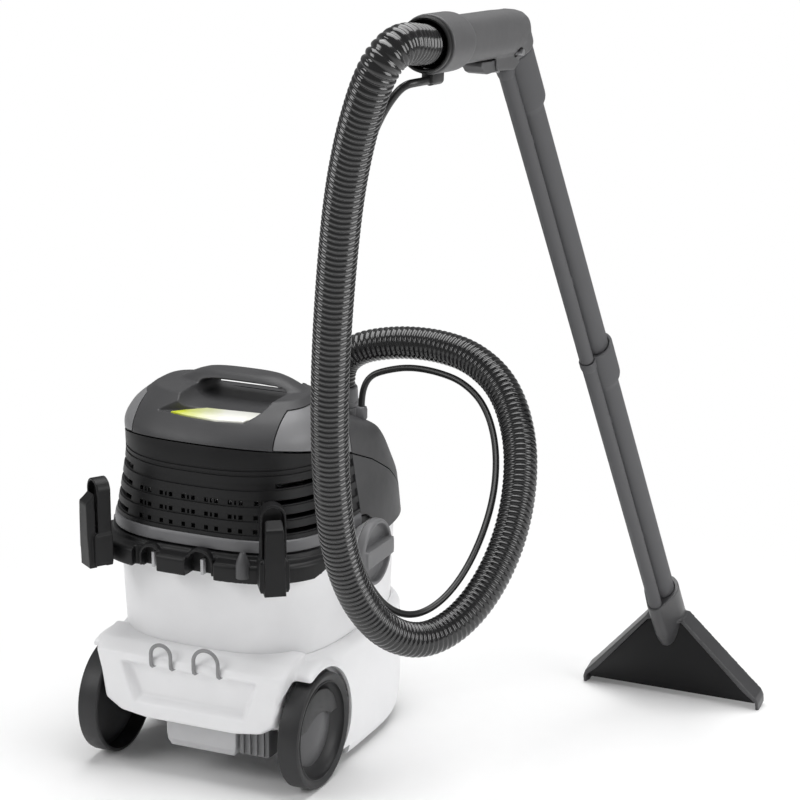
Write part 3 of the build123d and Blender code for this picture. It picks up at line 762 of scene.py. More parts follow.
# ---------------------------------------------------------------- container and running gear
@dataclass
class Wheels:
    """The two large rear wheels with their hub discs."""

    axle_y: float = -107.0
    radius: float = 70.4
    outer_x: float = 148.0
    width: float = 27.0

    def profile(self) -> list[Flat]:
        """The closed outline of half a wheel: (x, radius)."""
        out, inner, r = self.outer_x, self.outer_x - self.width, self.radius
        return [(inner, r - 4.4), (inner + 0.3, r - 1.2), (inner + 1.8, r), (out - 4.0, r),
                (out - 1.6, r - 0.7),
                (out - 0.4, r - 2.4), (out - 0.2, r - 4.6), (out - 2.6, r - 9.0), (out - 2.6, r - 10.4),
                (out - 1.6, r - 11.2), (out - 1.8, r - 12.0),
                (out - 3.4, r - 12.2), (out - 6.0, r - 12.8), (out - 9.5, r - 15.5), (out - 12.5, r - 19.0),
                (out - 15.0, r - 22.5), (out - 16.0, r - 25.5), (out - 16.0, 41.0), (out - 16.0, 6.0),
                (inner - 0.5, 6.0), (inner - 0.5, 13.0), (out - 18.6, 13.0), (out - 18.6, 46.0),
                (out - 13.0, 56.0), (out - 7.0, r - 4.6)]

    def build(self, bench: Bench) -> None:
        """Makes both wheels and their hub discs."""
        for name, side in (("left", -1), ("right", 1)):
            centre = (0.0, self.axle_y, self.radius)
            wheel = bench.lathe(f"moulded_wheel_{name}", centre, (side, 0, 0), self.profile(), 112,
                                looped=True)
            bench.dress(wheel, Finish.WHEEL, f"wheel_{name}", f"wheel_{name}", crease=38.0)
            face = self.outer_x - 16.0
            disc = bench.lathe(f"hub_disc_{name}", centre, (side, 0, 0),
                               [(face - 0.2, 0.0), (face - 0.2, 45.2), (face + 0.8, 45.2), (face + 1.4, 44.0),
                                (face + 4.0, 33.0), (face + 7.6, 20.0), (face + 9.4, 9.0),
                                (face + 9.7, 0.0)], 96)
            bench.dress(bench.rounded(disc, 0.3), Finish.HUB, f"wheel_{name}", f"hub_cap_{name}")
            ledge = bench.lathe(f"hub_ledge_{name}", centre, (side, 0, 0),
                                [(face, 0.0), (face, 47.6), (face + 8.6, 50.0), (face + 9.4, 49.0),
                                 (face + 9.4, 0.0)], 96)
            bench.carve(ledge, bench.lathe("low", (0.0, self.axle_y, self.radius - 32.0), (side, 0, 0),
                                           rod(100, 200, 52.0), 96))
            bench.carve(ledge, bench.brick("half", (-200, self.axle_y - 90, -10),
                                           (200, self.axle_y + 90, self.radius + 10)))
            bench.dress(bench.rounded(ledge, 1.2), Finish.WHEEL, f"wheel_{name}")
        bench.paint(Finish.WHEEL, "rear_axle")


@dataclass
class Casters:
    """The two small swivel casters under the front."""

    x: float = 78.0
    wheel_y: float = 106.0
    radius: float = 21.0

    def build(self, bench: Bench) -> None:
        """Makes the rollers and paints the forks."""
        for name, side in (("left", -1), ("right", 1)):
            r = self.radius
            profile = [(-9, 3.4), (-9, 8), (-7.5, 9), (-7.0, 14), (-9, 15.5), (-9, r - 3), (-8.1, r - 0.9),
                       (-6, r),
                       (6, r), (8.1, r - 0.9), (9, r - 3), (9, 15.5), (7.0, 14), (7.5, 9), (9, 8), (9, 3.4)]
            roller = bench.lathe(f"roller_{name}", (side * self.x, self.wheel_y, r), (1, 0, 0), profile, 56,
                                 looped=True)
            bench.dress(roller, Finish.WHEEL, f"caster_roller_{name}", f"caster_wheel_{name}")
            bench.paint(Finish.BLACK, f"caster_fork_{name}")


@dataclass
class Container:
    """The milky tub with its wheel arches and knob bosses."""

    levels: tuple[Level, ...] = ((88.0, 134.0, -138.0, 178.0), (155.0, 137.0, -141.0, 181.0),
                                 (290.0, 142.0, -147.0, 187.0))
    wall: float = 3.5
    arch_x: float = 117.0
    arch_radius: float = 73.9
    knob_z: float = 262.0

    def arch(self, bench: Bench, side: int, grow: float) -> bpy.types.Object:
        """The room of one wheel, grown by a wall or not."""
        return bench.lathe("arch", (side * (self.arch_x - grow), Wheels.axle_y, Wheels.radius), (side, 0, 0),
                           rod(0, 60, self.arch_radius + grow), 72)

    def build(self, bench: Bench) -> None:
        """Makes the tub."""
        outer = bench.loft("moulded_container", self.levels)
        hollow = [(self.levels[0][0] + self.wall, *self.levels[0][1:]), self.levels[1],
                  (300.0, *self.levels[2][1:])]
        hollow = inset(hollow, self.wall)
        inner = bench.loft("inner", hollow)
        for side in (-1, 1):
            bench.carve(outer, self.arch(bench, side, 0.0))
            bench.carve(inner, self.arch(bench, side, self.wall))
            boss = bench.lathe("boss", (side * 138.0, 0, self.knob_z), (side, 0, 0),
                               [(0, 0), (0, 15), (14.4, 15), (15, 14.4), (15, 0)], 48)
            bench.carve(outer, boss, Keep.BOTH)
            bore = bench.lathe("bore", (side * 128.0, 0, self.knob_z), (side, 0, 0), rod(0, 40, 7.3), 40)
            bench.carve(outer, bore)
        bench.dress(bench.carve(outer, inner), Finish.WHITE, "chassis", "container")


@dataclass
class Skirt:
    """The white chassis skirt: bright ledge, rear bulge with its recess, and wheel arches."""

    outer: tuple[Level, ...] = ((9.0, 141.0, -143.0, 186.0), (20.0, 145.0, -147.5, 190.0),
                                (60.0, 148.0, -151.0, 193.0),
                                (146.0, 148.0, -151.0, 193.0), (151.0, 146.6, -150.0, 191.4),
                                (160.0, 139.0, -143.5, 184.5))
    inner: tuple[Level, ...] = ((5.0, 137.0, -139.0, 182.0), (60.0, 144.5, -147.5, 189.5),
                                (140.0, 144.5, -147.5, 189.5),
                                (152.0, 137.8, -141.8, 181.8), (166.0, 137.6, -141.6, 181.6))
    bulge: tuple[Flat, ...] = ((-128.0, 152.0), (128.0, 152.0), (121.0, 124.0), (116.0, 90.0), (95.0, 77.0),
                               (60.0, 72.0), (-60.0, 72.0), (-95.0, 77.0), (-116.0, 90.0), (-121.0, 124.0))
    voxel: float = 1.9
    rounds: int = 6

    def build(self, bench: Bench) -> None:
        """Makes the skirt."""
        body = bench.loft("body", self.outer, 3.0)
        face = self.rear_bulge(bench)
        whole = bench.melt("moulded_skirt", [body, face, *self.fenders(bench)], self.voxel, self.rounds)
        bench.carve(whole, self.recess(bench))
        whole = bench.melt("moulded_skirt", [whole], self.voxel, 4)
        bench.carve(whole, bench.loft("hollow", self.inner, 6.0))
        bench.carve(whole, bench.prism("front_lift", [(100, -5), (132, 32), (150, 40), (230, 40),
                                                      (230, -5)], 0, -200, 200))
        bench.carve(whole, bench.brick("rear_gap", (-118, -200, -10), (118, -60, 74)))
        bench.carve(whole, bench.brick("low_rear", (-200, -200, -10), (200, -30, 22)))
        for side in (-1, 1):
            arch = bench.lathe("arch", (side * 117.0, Wheels.axle_y, Wheels.radius), (side, 0, 0),
                               rod(0, 60, 77.0), 96)
            bench.carve(whole, arch)
            low, high = sorted((side * 117, side * 170))
            bench.carve(whole, bench.brick("low", (low, -190, -5), (high, Wheels.axle_y, Wheels.radius)))
        bench.dress(whole, Finish.SKIRT, "chassis", "chassis_skirt", crease=40.0)

    def fenders(self, bench: Bench) -> list[bpy.types.Object]:
        """The shoulders over the wheels, which come out as far as the wheels' faces."""
        made = []
        for side in (-1, 1):
            shoulder = bench.lathe("shoulder", (side * 96.0, Wheels.axle_y, Wheels.radius), (side, 0, 0),
                                   [(0, 0), (0, 83.0), (46.0, 83.0), (50.0, 81.5), (51.4, 79.0), (51.4, 0)],
                                   96)
            low, high = sorted((side * 80.0, side * 170.0))
            bench.carve(shoulder, bench.brick("low", (low, -230, -20), (high, -101, 138.5)))
            bench.carve(shoulder, bench.brick("rear", (low, -230, -20), (high, -137, 170)))
            bench.carve(shoulder, bench.brick("under", (low, -230, -20), (high, 60, 72)))
            made.append(shoulder)
        return made

    def rear_bulge(self, bench: Bench) -> bpy.types.Object:
        """The part of the skirt that stands proud at the rear, sloping back at its top and foot."""
        rings = []
        for y, share, lift in ((-110.0, 1.0, 16.0), (-150.0, 1.0, 12.0), (-158.0, 0.995, 6.0),
                               (-165.0, 0.98, 1.5),
                               (-168.0, 0.955, 0.0)):
            rings.append([(x * share, y, z + (lift if z > 140 else (1 - share) * 60)) for x, z in self.bulge])
        return bench.skin("bulge", rings)

    def recess(self, bench: Bench) -> bpy.types.Object:
        """The wide hollow behind the cord hooks, with a sloping lower ledge."""
        front = [(-92.0, 143.0), (92.0, 143.0), (74.0, 92.0), (-74.0, 92.0)]
        back = [(-85.0, 139.0), (85.0, 139.0), (69.0, 99.0), (-69.0, 99.0)]
        rings = [[(x, -175.0, z) for x, z in front], [(x, -168.0, z) for x, z in front],
                 [(x, -157.0, z) for x, z in back]]
        return bench.skin("recess", rings)


@dataclass
class Underbody:
    """What hangs under the rear: the sump box, the ribbed pump cover and the cord hooks."""

    hook_rows: tuple[tuple[float, float], ...] = ((-34.5, 15.5), (25.5, 18.5))
    bar: float = 2.3

    def build(self, bench: Bench) -> None:
        """Makes the sump box, the pump cover with its ribs, and both hooks."""
        sump = bench.skin("sump", [[(x, y, z) for x, y in ((-42 + d, -150 + d), (53 - d, -150 + d),
                                                           (53 - d, -116), (-42 + d, -116))]
                                   for z, d in ((35.0, 5.0), (44.0, 1.5), (79.0, 0.0))])
        bench.dress(bench.melt("rounded_sump_box", [sump], 1.1, 3), Finish.PALE, "chassis", "sump_box")
        # The ribbed pump cover's darker mid-grey, beside the pale sump box, is painted shade: it stands in
        # for the shade under the chassis.
        cover = bench.rounded(bench.brick("pump_housing", (55, -146, 40), (95, -121, 79)), 2.0)
        rows = bench.mesh("rib_rows", [(x, -147.0, 58.0) for x in (61, 70, 79, 88)], [])
        ribs = block_array("pump_cover_ribs", Finish.TRIM.material).use(bench, rows, Width=3.0, Depth=4.0,
                                                                        Height=31.0)
        bench.dress(bench.joined("ribbed_pump_cover", [cover, ribs]), Finish.TRIM, "chassis", "pump_cover")
        hooks = [self.hook(bench, x, half) for x, half in self.hook_rows]
        bench.dress(bench.joined("bent_cord_hooks", hooks), Finish.HOOK, "chassis", "cord_hooks")
        bench.paint(Finish.PALE, "base_plate")

    def hook(self, bench: Bench, x: float, half: float) -> bpy.types.Object:
        """One U-shaped hook whose legs bend into the wall."""
        reach = half - self.bar
        y = -170.5
        bend = [(side, y, height) for side, height in reversed(arc(x, 158.0, reach, 20))]
        left = [(x - reach, -162.0, 141.5), (x - reach, -167.5, 142.0), (x - reach, -169.8, 143.8),
                (x - reach, y, 147.5)]
        right = [(x + reach, p[1], p[2]) for p in reversed(left)]
        return bench.strand("hook", left + bend + right, self.bar)


@dataclass
class Carrier:
    """The black bracket round the back of the rim, its two posts, hoods and peg."""

    notches: tuple[tuple[float, float], ...] = ((-72.0, -38.0), (0.4, 37.4))
    hoods: tuple[tuple[float, float], ...] = ((-49.5, 15.5), (15.4, 19.0))
    post_x: float = 117.0
    post_y: float = -171.0
    post_turn: float = 35.0

    def build(self, bench: Bench) -> None:
        """Makes the bracket and the posts."""
        levels = [(263.0, 159.5, -170.5, 200.0), (280.5, 159.8, -170.8, 200.0), (285.0, 156.8, -167.6, 200.0),
                  (286.2, 151.8, -161.5, 200.0), (287.4, 150.4, -156.4, 200.0), (292.4, 149.4, -154.6, 200.0)]
        body = bench.loft("rim", levels, 2.0)
        bench.carve(body, bench.prism("reach", [(-200, 255), (-118, 262), (-88, 276), (-88, 296),
                                                (-200, 296)], 0, -170, 170),
                    Keep.INSIDE)
        for low, high in self.notches:
            bench.carve(body, bench.brick("notch", (low, -190, 250), (high, -157.5, 300)))
        hoods = []
        for x, half in self.hoods:
            hoods.append(bench.lathe("hood", (x, -163.5, 277.0), (0, 1, 0),
                                     [(0, half - 3.6), (0, half - 0.8), (1.0, half), (10.9, half),
                                      (10.9, half - 3.6)], 72, looped=True))
            hoods.append(bench.brick("leg", (x - half, -162.5, 264.5), (x - half + 3.6, -152.6, 277.0)))
            hoods.append(bench.brick("leg", (x + half - 3.6, -162.5, 264.5), (x + half, -152.6, 277.0)))
        body = bench.melt("moulded_carrier", [body, *hoods], 1.1, 2)
        for x, half in self.hoods:
            inner_half = half - 3.4
            outline = [(x - inner_half, 250), (x + inner_half, 250)]
            outline += arc(x, 277.0, inner_half, 16)
            bench.carve(body, bench.prism("arch", outline, 1, -190, -149.5))
        inner = [(255.0, 142.4, -147.4, 190.0), (300.0, 143.4, -148.4, 190.0)]
        bench.carve(body, bench.loft("inner", inner, 20.0))
        for side in (-1, 1):
            gap = bench.brick("gap", (-18.0, -18.2, 250), (18.0, 16.2, 310))
            gap.data.transform(self.tilt(side))
            bench.carve(body, gap)
        peg = bench.lathe("parking_peg", (73, -163, 0), (0, 0, 1),
                          [(270, 0), (270, 8.4), (286, 8.2), (290, 7.4), (299.4, 3.6), (300.8, 2.4),
                           (300.8, 0)], 40)
        lugs = [bench.rounded(bench.brick("lug", (x - 2, -156.5, 262), (x + 2, -149, 281)), 0.8) for x,
                _ in self.hoods]
        bench.dress(body, Finish.BLACK, "chassis", "accessory_carrier")
        bench.dress(peg, Finish.HUB, "chassis")
        bench.dress(bench.joined("notch_lugs", lugs), Finish.PALE, "chassis")
        posts = [self.post(bench, side) for side in (-1, 1)]
        bench.dress(bench.joined("moulded_tube_posts", posts), Finish.BLACK, "chassis", "tube_posts")

    def tilt(self, side: int) -> Matrix:
        """The place of one post: turned to its corner."""
        return Matrix.Translation((side * self.post_x, self.post_y,
                                   0)) @ Matrix.Rotation(math.radians(side * self.post_turn), 4, "Z")

    def post(self, bench: Bench, side: int) -> bpy.types.Object:
        """One post: an arched back wall, side walls and a shorter tongue in front of it."""
        crown = arc(0.0, 352.5, 15.0, 18)
        back = bench.prism("back", [(-15.0, 262), (15.0, 262)] + crown, 1, 6.0, 13.6)
        room = arc(0.0, 352.0, 12.2, 18)
        hood = bench.prism("hood", [(-15.0, 280), (15.0, 280)] + crown, 1, -3.5, 8.0)
        bench.carve(hood, bench.prism("hood_room", [(-12.2, 200), (12.2, 200)] + room, 1, -10.0, 6.2))
        tongue = bench.skin("tongue", [[(x * w, y, z + (0.0 if y < -10 else lift)) for x,
                                        y in ((-1, -16 + f), (1, -16 + f), (1, -5), (-1, -5))]
                                       for z, w, f, lift in ((261, 12.6, 1.5, 0), (300, 11.6, 0, 0),
                                                             (338, 10.6, 0, 0),
                                                             (341, 10.2, 0.8, 7.0), (342, 8.6, 2.2, 9.0))])
        block = bench.skin("block", [[(x * w, y, z) for x, y in ((-1, f), (1, f), (1, 14), (-1, 14))]
                                     for z, w, f in ((263, 16.0, -7.0), (268, 17.6, -9.0),
                                                     (300, 17.4, -9.0), (303, 15.4, -6.0))])
        post = bench.melt("post", [back, hood, tongue, block], 0.9, 2)
        post.data.transform(self.tilt(side))
        bench.carve(post, bench.loft("tub_room", [(250.0, 142.6, -147.6, 190.0),
                                                  (390.0, 142.6, -147.6, 190.0)], 60.0))
        return post


@dataclass
class Knobs:
    """The two round latch knobs with their grip bars."""

    z: float = 262.0
    radius: float = 41.0
    outer_x: float = 174.0

    def build(self, bench: Bench) -> None:
        """Makes both knobs."""
        base = self.outer_x - 17.0
        for name, side in (("left", -1), ("right", 1)):
            r = self.radius
            disc = bench.lathe("disc", (0, 0, self.z), (side, 0, 0),
                               [(132, 0), (132, 7), (base, 7), (base, r - 1.5), (base + 1.5, r),
                                (base + 9.5, r - 0.4),
                                (base + 11.6, r - 2.0), (base + 12.0, r - 4.0), (base + 11.6, r - 5.6),
                                (base + 6.0, r - 7.0),
                                (base + 4.0, r - 9.0), (base + 4.0, 0)], 96)
            low, high = sorted((side * (base + 2), side * (self.outer_x - 1)))
            bar = bench.brick("bar", (low, -36.5, self.z - 10.5), (high, 36.5, self.z + 10.5))
            room = bench.lathe("room", (0, 0, self.z), (side, 0, 0),
                               [(base, 0), (base, r - 2.4), (180, r - 5.0), (180, 0)], 96)
            bench.carve(bar, room, Keep.INSIDE)
            knob = bench.melt(f"moulded_knob_{name}", [disc, bar], 0.9, 4)
            bench.dress(knob, Finish.TRIM, f"knob_{name}", f"latch_knob_{name}", crease=45.0)


# ---------------------------------------------------------------- head
@dataclass
class Head:
    """The lift-off motor head: louvre housing, side shells, band, cover, panels, front shell and lid."""

    levels: tuple[Level, ...] = ((268.0, 149.0, -154.0, 194.0), (309.0, 145.5, -150.0, 190.0),
                                 (345.0, 140.0, -149.0, 169.0),
                                 (380.0, 135.0, -148.0, 138.0), (400.0, 132.5, -147.0, 92.0),
                                 (417.0, 130.0, -144.0, 50.0),
                                 (440.0, 118.0, -127.0, 18.0), (460.0, 96.0, -98.0, 6.0))
    shut: tuple[Flat, ...] = ((-148.0, 418.0), (-70.0, 403.0), (0.0, 382.0), (50.0, 361.0), (98.0, 334.0),
                              (136.0, 302.0),
                              (158.0, 276.0), (164.0, 260.0))
    wall: float = 3.0
    gap: float = 1.5
    rows: tuple[float, ...] = (371.0, 352.0, 335.0, 318.5)
    grooves: tuple[float, ...] = (391.0, 385.0)
    row_height: float = 8.0
    row_depth: float = 1.8

    def skin(self, bench: Bench, name: str) -> bpy.types.Object:
        """The head's plain walled shell."""
        dense = smooth_levels(self.levels, 3.0)
        inside = inset([(z - (self.wall if z > 455 else 0.0), h, r, f) for z, h, r, f in dense], self.wall)
        return bench.shell(name, dense, inside)

    def above(self, bench: Bench, lift: float = 0.0) -> bpy.types.Object:
        """Everything over the shut line, moved up by a gap."""
        outline = [(y, z + lift) for y, z in self.shut] + [(230, 260 + lift), (230, 540), (-230, 540),
                                                           (-230, 434 + lift)]
        return bench.prism("above", outline, 0, -210, 210)

    def behind(self, bench: Bench, seam: float, low: float = 200.0) -> bpy.types.Object:
        """Everything behind a seam across the head, over a height."""
        return bench.brick("behind", (-210, -210, low), (210, seam, 540))

    def before(self, bench: Bench) -> bpy.types.Object:
        """Everything in front of the head's middle seam."""
        return bench.brick("before", (-210, 0.6, 200), (210, 260, 540))

    def build(self, bench: Bench) -> None:
        """Makes every shell of the head."""
        self.housing(bench)
        self.side_shells(bench)
        self.band(bench)
        self.cover(bench)
        self.panels(bench)
        self.front(bench)
        self.fittings(bench)

    def grooved(self) -> list[Level]:
        """The housing's outer levels, pulled in at the grooves and the hole rows."""
        marks = [(z, self.row_height, self.row_depth) for z in self.rows] + [(z, 2.0, 1.3)
            for z in self.grooves]
        table = smooth_levels(self.levels, 3.0)
        heights = {309.8, 428.0}
        for z, tall, _ in marks:
            heights |= {z - tall / 2 - 0.5, z - tall / 2, z + tall / 2, z + tall / 2 + 0.5}
        heights |= {level[0] for level in table if 309.8 < level[0] < 428.0
                    and all(abs(level[0] - z) > tall / 2 + 0.8 for z, tall, _ in marks)}
        columns = np.array(table).T
        made = []
        for z in sorted(heights):
            depth = max([d for centre, tall, d in marks if abs(z - centre) <= tall / 2 + 0.01] or [0.0])
            half, rear, front = (float(np.interp(z, columns[0], columns[k])) for k in (1, 2, 3))
            made.append((z, half - depth, rear + depth, front - depth))
        return made

    def housing(self, bench: Bench) -> None:
        """The black louvre housing with its ribs, corner slots and rows of small holes."""
        outer = self.grooved()
        inner = inset([(z, h, r, f) for z, h, r, f in smooth_levels(self.levels, 6.0) if 300 < z < 432], 5.0)
        inner = [(300.0, *inner[0][1:])] + inner[1:-1] + [(434.0, *inner[-1][1:])]
        body = bench.skin("ribbed_louvre_housing", [head_ring(level) for level in outer])
        bench.carve(body, bench.skin("hollow", [head_ring(level) for level in inner]))
        bench.carve(body, self.above(bench, -self.gap))
        bench.carve(body, self.behind(bench, -0.4), Keep.INSIDE)
        holes = [(x, -147.0, z) for z in self.rows[1:] for start in (-75, -45, -15, 15, 45, 75)
                 for x in (start + 2.5, start + 15.5)]
        narrow = [(x, -147.0, z) for z in self.rows[1:3] for x in (-66, -36, -6, 24, 54, 84)]
        ends = [(x, -92.0, z) for x in (-121.0, 126.0) for z in self.rows]
        for title, places, size in (("square_holes", holes, (5.0, 30.0, 5.2)),
                                    ("narrow_holes", narrow, (2.6, 30.0, 5.2)),
                                    ("corner_slots", ends, (62.0, 80.0, 5.6))):
            points = bench.mesh(title, places, [])
            cutter = block_array(title, Finish.BLACK.material).use(bench, points, Width=size[0],
                                                                   Depth=size[1], Height=size[2])
            bench.carve(body, cutter)
        inlet = bench.lathe("inlet", (-160, -20, 338), (1, 0, 0), rod(0, 50, 9.6), 40)
        bench.carve(body, inlet)
        bench.dress(body, Finish.BLACK, "head", "louvre_housing", crease=24.0)

    def side_shells(self, bench: Bench) -> None:
        """The lower front and side shell with its cut-outs round the knobs."""
        body = self.skin(bench, "moulded_side_shells")
        bench.carve(body, self.above(bench, -self.gap))
        bench.carve(body, self.before(bench), Keep.INSIDE)
        for side in (-1, 1):
            bench.carve(body, bench.lathe("knob_room", (side * 118.0, 0, 262), (side, 0, 0), rod(0, 60, 43),
                                          96))
        bench.dress(body, Finish.COVER, "head", "side_shells")

    def band(self, bench: Bench) -> None:
        """The grey band round the foot of the housing."""
        levels = [(294.0, 145.6, -150.6, 189.6), (295.2, 147.0, -152.0, 191.0), (302.0, 147.3, -152.3, 191.3),
                  (307.6, 146.4, -151.4, 190.4), (309.0, 145.2, -150.2, 189.2)]
        inner = [(293.0, 142.6, -147.6, 187.0), (310.0, 142.4, -147.4, 187.0)]
        body = bench.skin("rounded_rim_band", bench.ovals(levels))
        bench.carve(body, bench.skin("hollow", bench.ovals(inner)))
        bench.carve(body, self.behind(bench, 0.0), Keep.INSIDE)
        bench.dress(body, Finish.BAND, "head", "rim_band")

    def cover(self, bench: Bench) -> None:
        """The top cover: carry handle, hand pocket and badge ledge in one moulding."""
        crown = bench.skin("crown", [head_ring(level) for level in smooth_levels(self.levels, 3.0)])
        bench.carve(crown, self.behind(bench, 8.0, 380.0), Keep.INSIDE)
        rings = []
        for z, half, rear, front in ((430, 108, -72, 6), (444, 103, -64, 4), (452, 94, -57, 1),
                                     (459, 84, -52, -2),
                                     (465, 73, -49, -4), (470, 62, -46, -6.5), (474, 50, -42, -10),
                                     (475.6, 38, -37, -15)):
            rings.append([(x + 6.0, y, level) for x, y, level in even_oval(half, rear, front, z, 2.8, 120)])
        body = bench.melt("moulded_top_cover", [crown, bench.skin("arch", rings)], 1.4, 14)
        bench.carve(body, self.pocket(bench))
        bench.carve(body, self.badge_bed(bench))
        body = bench.melt("moulded_top_cover", [body], 1.25, 3)
        bench.carve(body, self.above(bench, 0.2), Keep.INSIDE)
        bench.carve(body, self.behind(bench, -0.2, 300.0), Keep.INSIDE)
        inside = inset([(z - (10.0 if z > 435 else 0.0), h, r, f) for z, h, r, f in self.levels[3:7]],
                       self.wall)
        bench.carve(body, bench.skin("hollow", [head_ring(level) for level in smooth_levels(inside, 8.0)]))
        for side in (-1, 1):
            bench.carve(body, self.wedge(bench, side, 0.0))
        bench.dress(body, Finish.COVER, "head", "top_cover", crease=40.0)
        self.badge(bench)

    def pocket(self, bench: Bench) -> bpy.types.Object:
        """The hand pocket under the carry bar, open to the rear and right through to the front."""
        rings = []
        for y, half, low, high in ((-135, 58, 441.0, 520), (-118, 59, 441.0, 520), (-92, 59, 441.5, 520),
                                   (-66, 59, 442.5, 500),
                                   (-54, 58, 443.5, 474), (-45, 57, 444, 466.5), (-20, 56, 445, 464.5),
                                   (0, 55, 445.5, 463.5),
                                   (30, 55, 445.5, 463.5)):
            ring = []
            for k in range(64):
                a = 2 * math.pi * k / 64
                c, s = math.cos(a), math.sin(a)
                ring.append((15 + half * math.copysign(abs(c) ** 0.45, c), y,
                             (low + high) / 2 + (high - low) / 2 * math.copysign(abs(s) ** 0.62, s)))
            rings.append(ring)
        return bench.skin("pocket", rings)

    def leaf(self, grow: float) -> list[Flat]:
        """The badge's outline in plan."""
        outline = [(-44, -117), (-33, -104), (-12, -86), (62, -79), (66, -86), (52, -118), (20, -125),
                   (-18, -122)]
        middle = Vector((10.0, -103.0))
        return [tuple(middle + (Vector(p) - middle) * grow) for p in outline]

    def badge_bed(self, bench: Bench) -> bpy.types.Object:
        """The shallow bed that the badge lies in, drawn out to a point on the left."""
        outline = self.leaf(1.1)
        outline[0] = (-62.0, -117.0)
        return bench.prism("badge_bed", outline, 2, 440.6, 470.0)

    def badge(self, bench: Bench) -> None:
        """The plain badge film on its plate."""
        plate = bench.prism("plain_badge", self.leaf(0.99), 2, 439.8, 443.0)
        low, high = bench.at(-44, 0, 0).x, bench.at(50, 0, 0).x
        film = BadgeFilm("badge_film", low, high).build()
        bench.dress(bench.rounded(plate, 0.6), Finish.TANK, "head", "badge_plate")
        plate.data.materials.clear()
        plate.data.materials.append(film)

    def wedge(self, bench: Bench, side: int, inner: float) -> bpy.types.Object:
        """The room of one rear corner panel, pulled in by a gap or not."""
        low, high = sorted((side * (92.0 + inner), side * 210.0))
        return bench.brick("wedge", (low, -210, 300), (high, 0.0 if inner else 60.0, 452.5 - inner))

    def panels(self, bench: Bench) -> None:
        """The two mid-grey switch panels at the rear corners."""
        for name, body_name, side in (("spray", "spray_key", -1), ("vacuum", "vacuum_key", 1)):
            body = self.skin(bench, f"moulded_{name}_switch")
            bench.carve(body, self.above(bench, 1.3), Keep.INSIDE)
            bench.carve(body, self.wedge(bench, side, 1.4), Keep.INSIDE)
            bench.carve(body, self.behind(bench, -0.8, 300.0), Keep.INSIDE)
            bench.dress(body, Finish.TRIM, body_name, f"{name}_switch")

    def front(self, bench: Bench) -> None:
        """The front upper shell and the filler lid cut from it."""
        body = self.skin(bench, "moulded_front_shell")
        bench.carve(body, self.above(bench, 0.2), Keep.INSIDE)
        bench.carve(body, self.before(bench), Keep.INSIDE)
        lid = bench.copy(body, "moulded_filler_lid")
        bench.carve(body, bench.brick("lid_room", (-96, 30, 300), (26, 132, 520)))
        bench.carve(lid, bench.brick("lid", (-95.2, 30.8, 300), (25.2, 131.2, 520)), Keep.INSIDE)
        for x, y, radius in ((60.0, 120.0, 27.1), (100.0, 100.0, 5.7)):
            bench.carve(body, bench.lathe("hose_hole", (x, y, 350), (0, 0, 1), rod(0, 90, radius), 72))
        bench.carve(body, bench.brick("under_bar", (-46, -2, 446), (70, 40, 520)))
        sill = bench.skin("sill", [head_ring(level) for level in inset(smooth_levels(self.levels, 3.0), 1.0)])
        bench.carve(sill, bench.brick("sill_room", (-48, 0.6, 441), (72, 40, 446)), Keep.INSIDE)
        body = bench.joined("moulded_front_shell", [body, sill])
        bench.dress(body, Finish.COVER, "head", "front_upper_shell")
        bench.dress(lid, Finish.COVER, "lid", "filler_lid")

    def fittings(self, bench: Bench) -> None:
        """The sockets on the right, and finishes for the parts inside."""
        socket = bench.lathe("socket", (60, 120, 0), (0, 0, 1),
                             [(379, 22.5), (379, 27), (396, 27), (398.6, 26.4), (400, 25), (400, 23.2),
                                                               (399.2, 22.5)], 72, looped=True)
        small = bench.lathe("small", (100, 100, 0), (0, 0, 1),
                            [(372, 4.1), (372, 5.6), (391, 5.6), (392, 5.0), (392, 4.1)], 40, looped=True)
        bench.dress(bench.joined("turned_hose_sockets", [socket, small]), Finish.TRIM, "head", "hose_sockets")
        heads = bench.mesh("screw_places",
                           [(x, y, 290.8) for x, y in ((-118, 60), (118, 60), (-110, -96), (110, -96))], [])
        bench.dress(self.screws(bench, heads), Finish.STEEL, "head", "head_screws")
        bench.paint(Finish.BLACK, "head_floor", "turbine_housing", "float_cage", "inlet_pipe", "spray_pump",
                    "cord_gland")
        bench.paint(Finish.STEEL, "motor", "motor_shaft")
        bench.paint(Finish.PALE, "turbine_fan", "float_ball")
        bench.paint(Finish.TANK, "fresh_water_tank")
        bench.paint(Finish.SEAL, "head_seal")

    def screws(self, bench: Bench, places: bpy.types.Object) -> bpy.types.Object:
        """Screws with domed heads on every point, made by a node tree."""
        tree = Tree("head_screw_row")
        radius, height = tree.number("Radius"), tree.number("Height")
        head = tree.node("GeometryNodeMeshCylinder", Vertices=28, Side_Segments=2, Radius=radius,
                         Depth=height)
        points = tree.node("GeometryNodeMeshToPoints", Mesh=tree.source.outputs["Geometry"])
        spread = tree.node("GeometryNodeInstanceOnPoints", Points=points.outputs[0],
                           Instance=head.outputs["Mesh"])
        tree.end(spread.outputs[0], Finish.STEEL.material)
        places.name = "domed_head_screws"
        return bench.rounded(tree.use(bench, places, Radius=5.4, Height=4.2), 0.8)


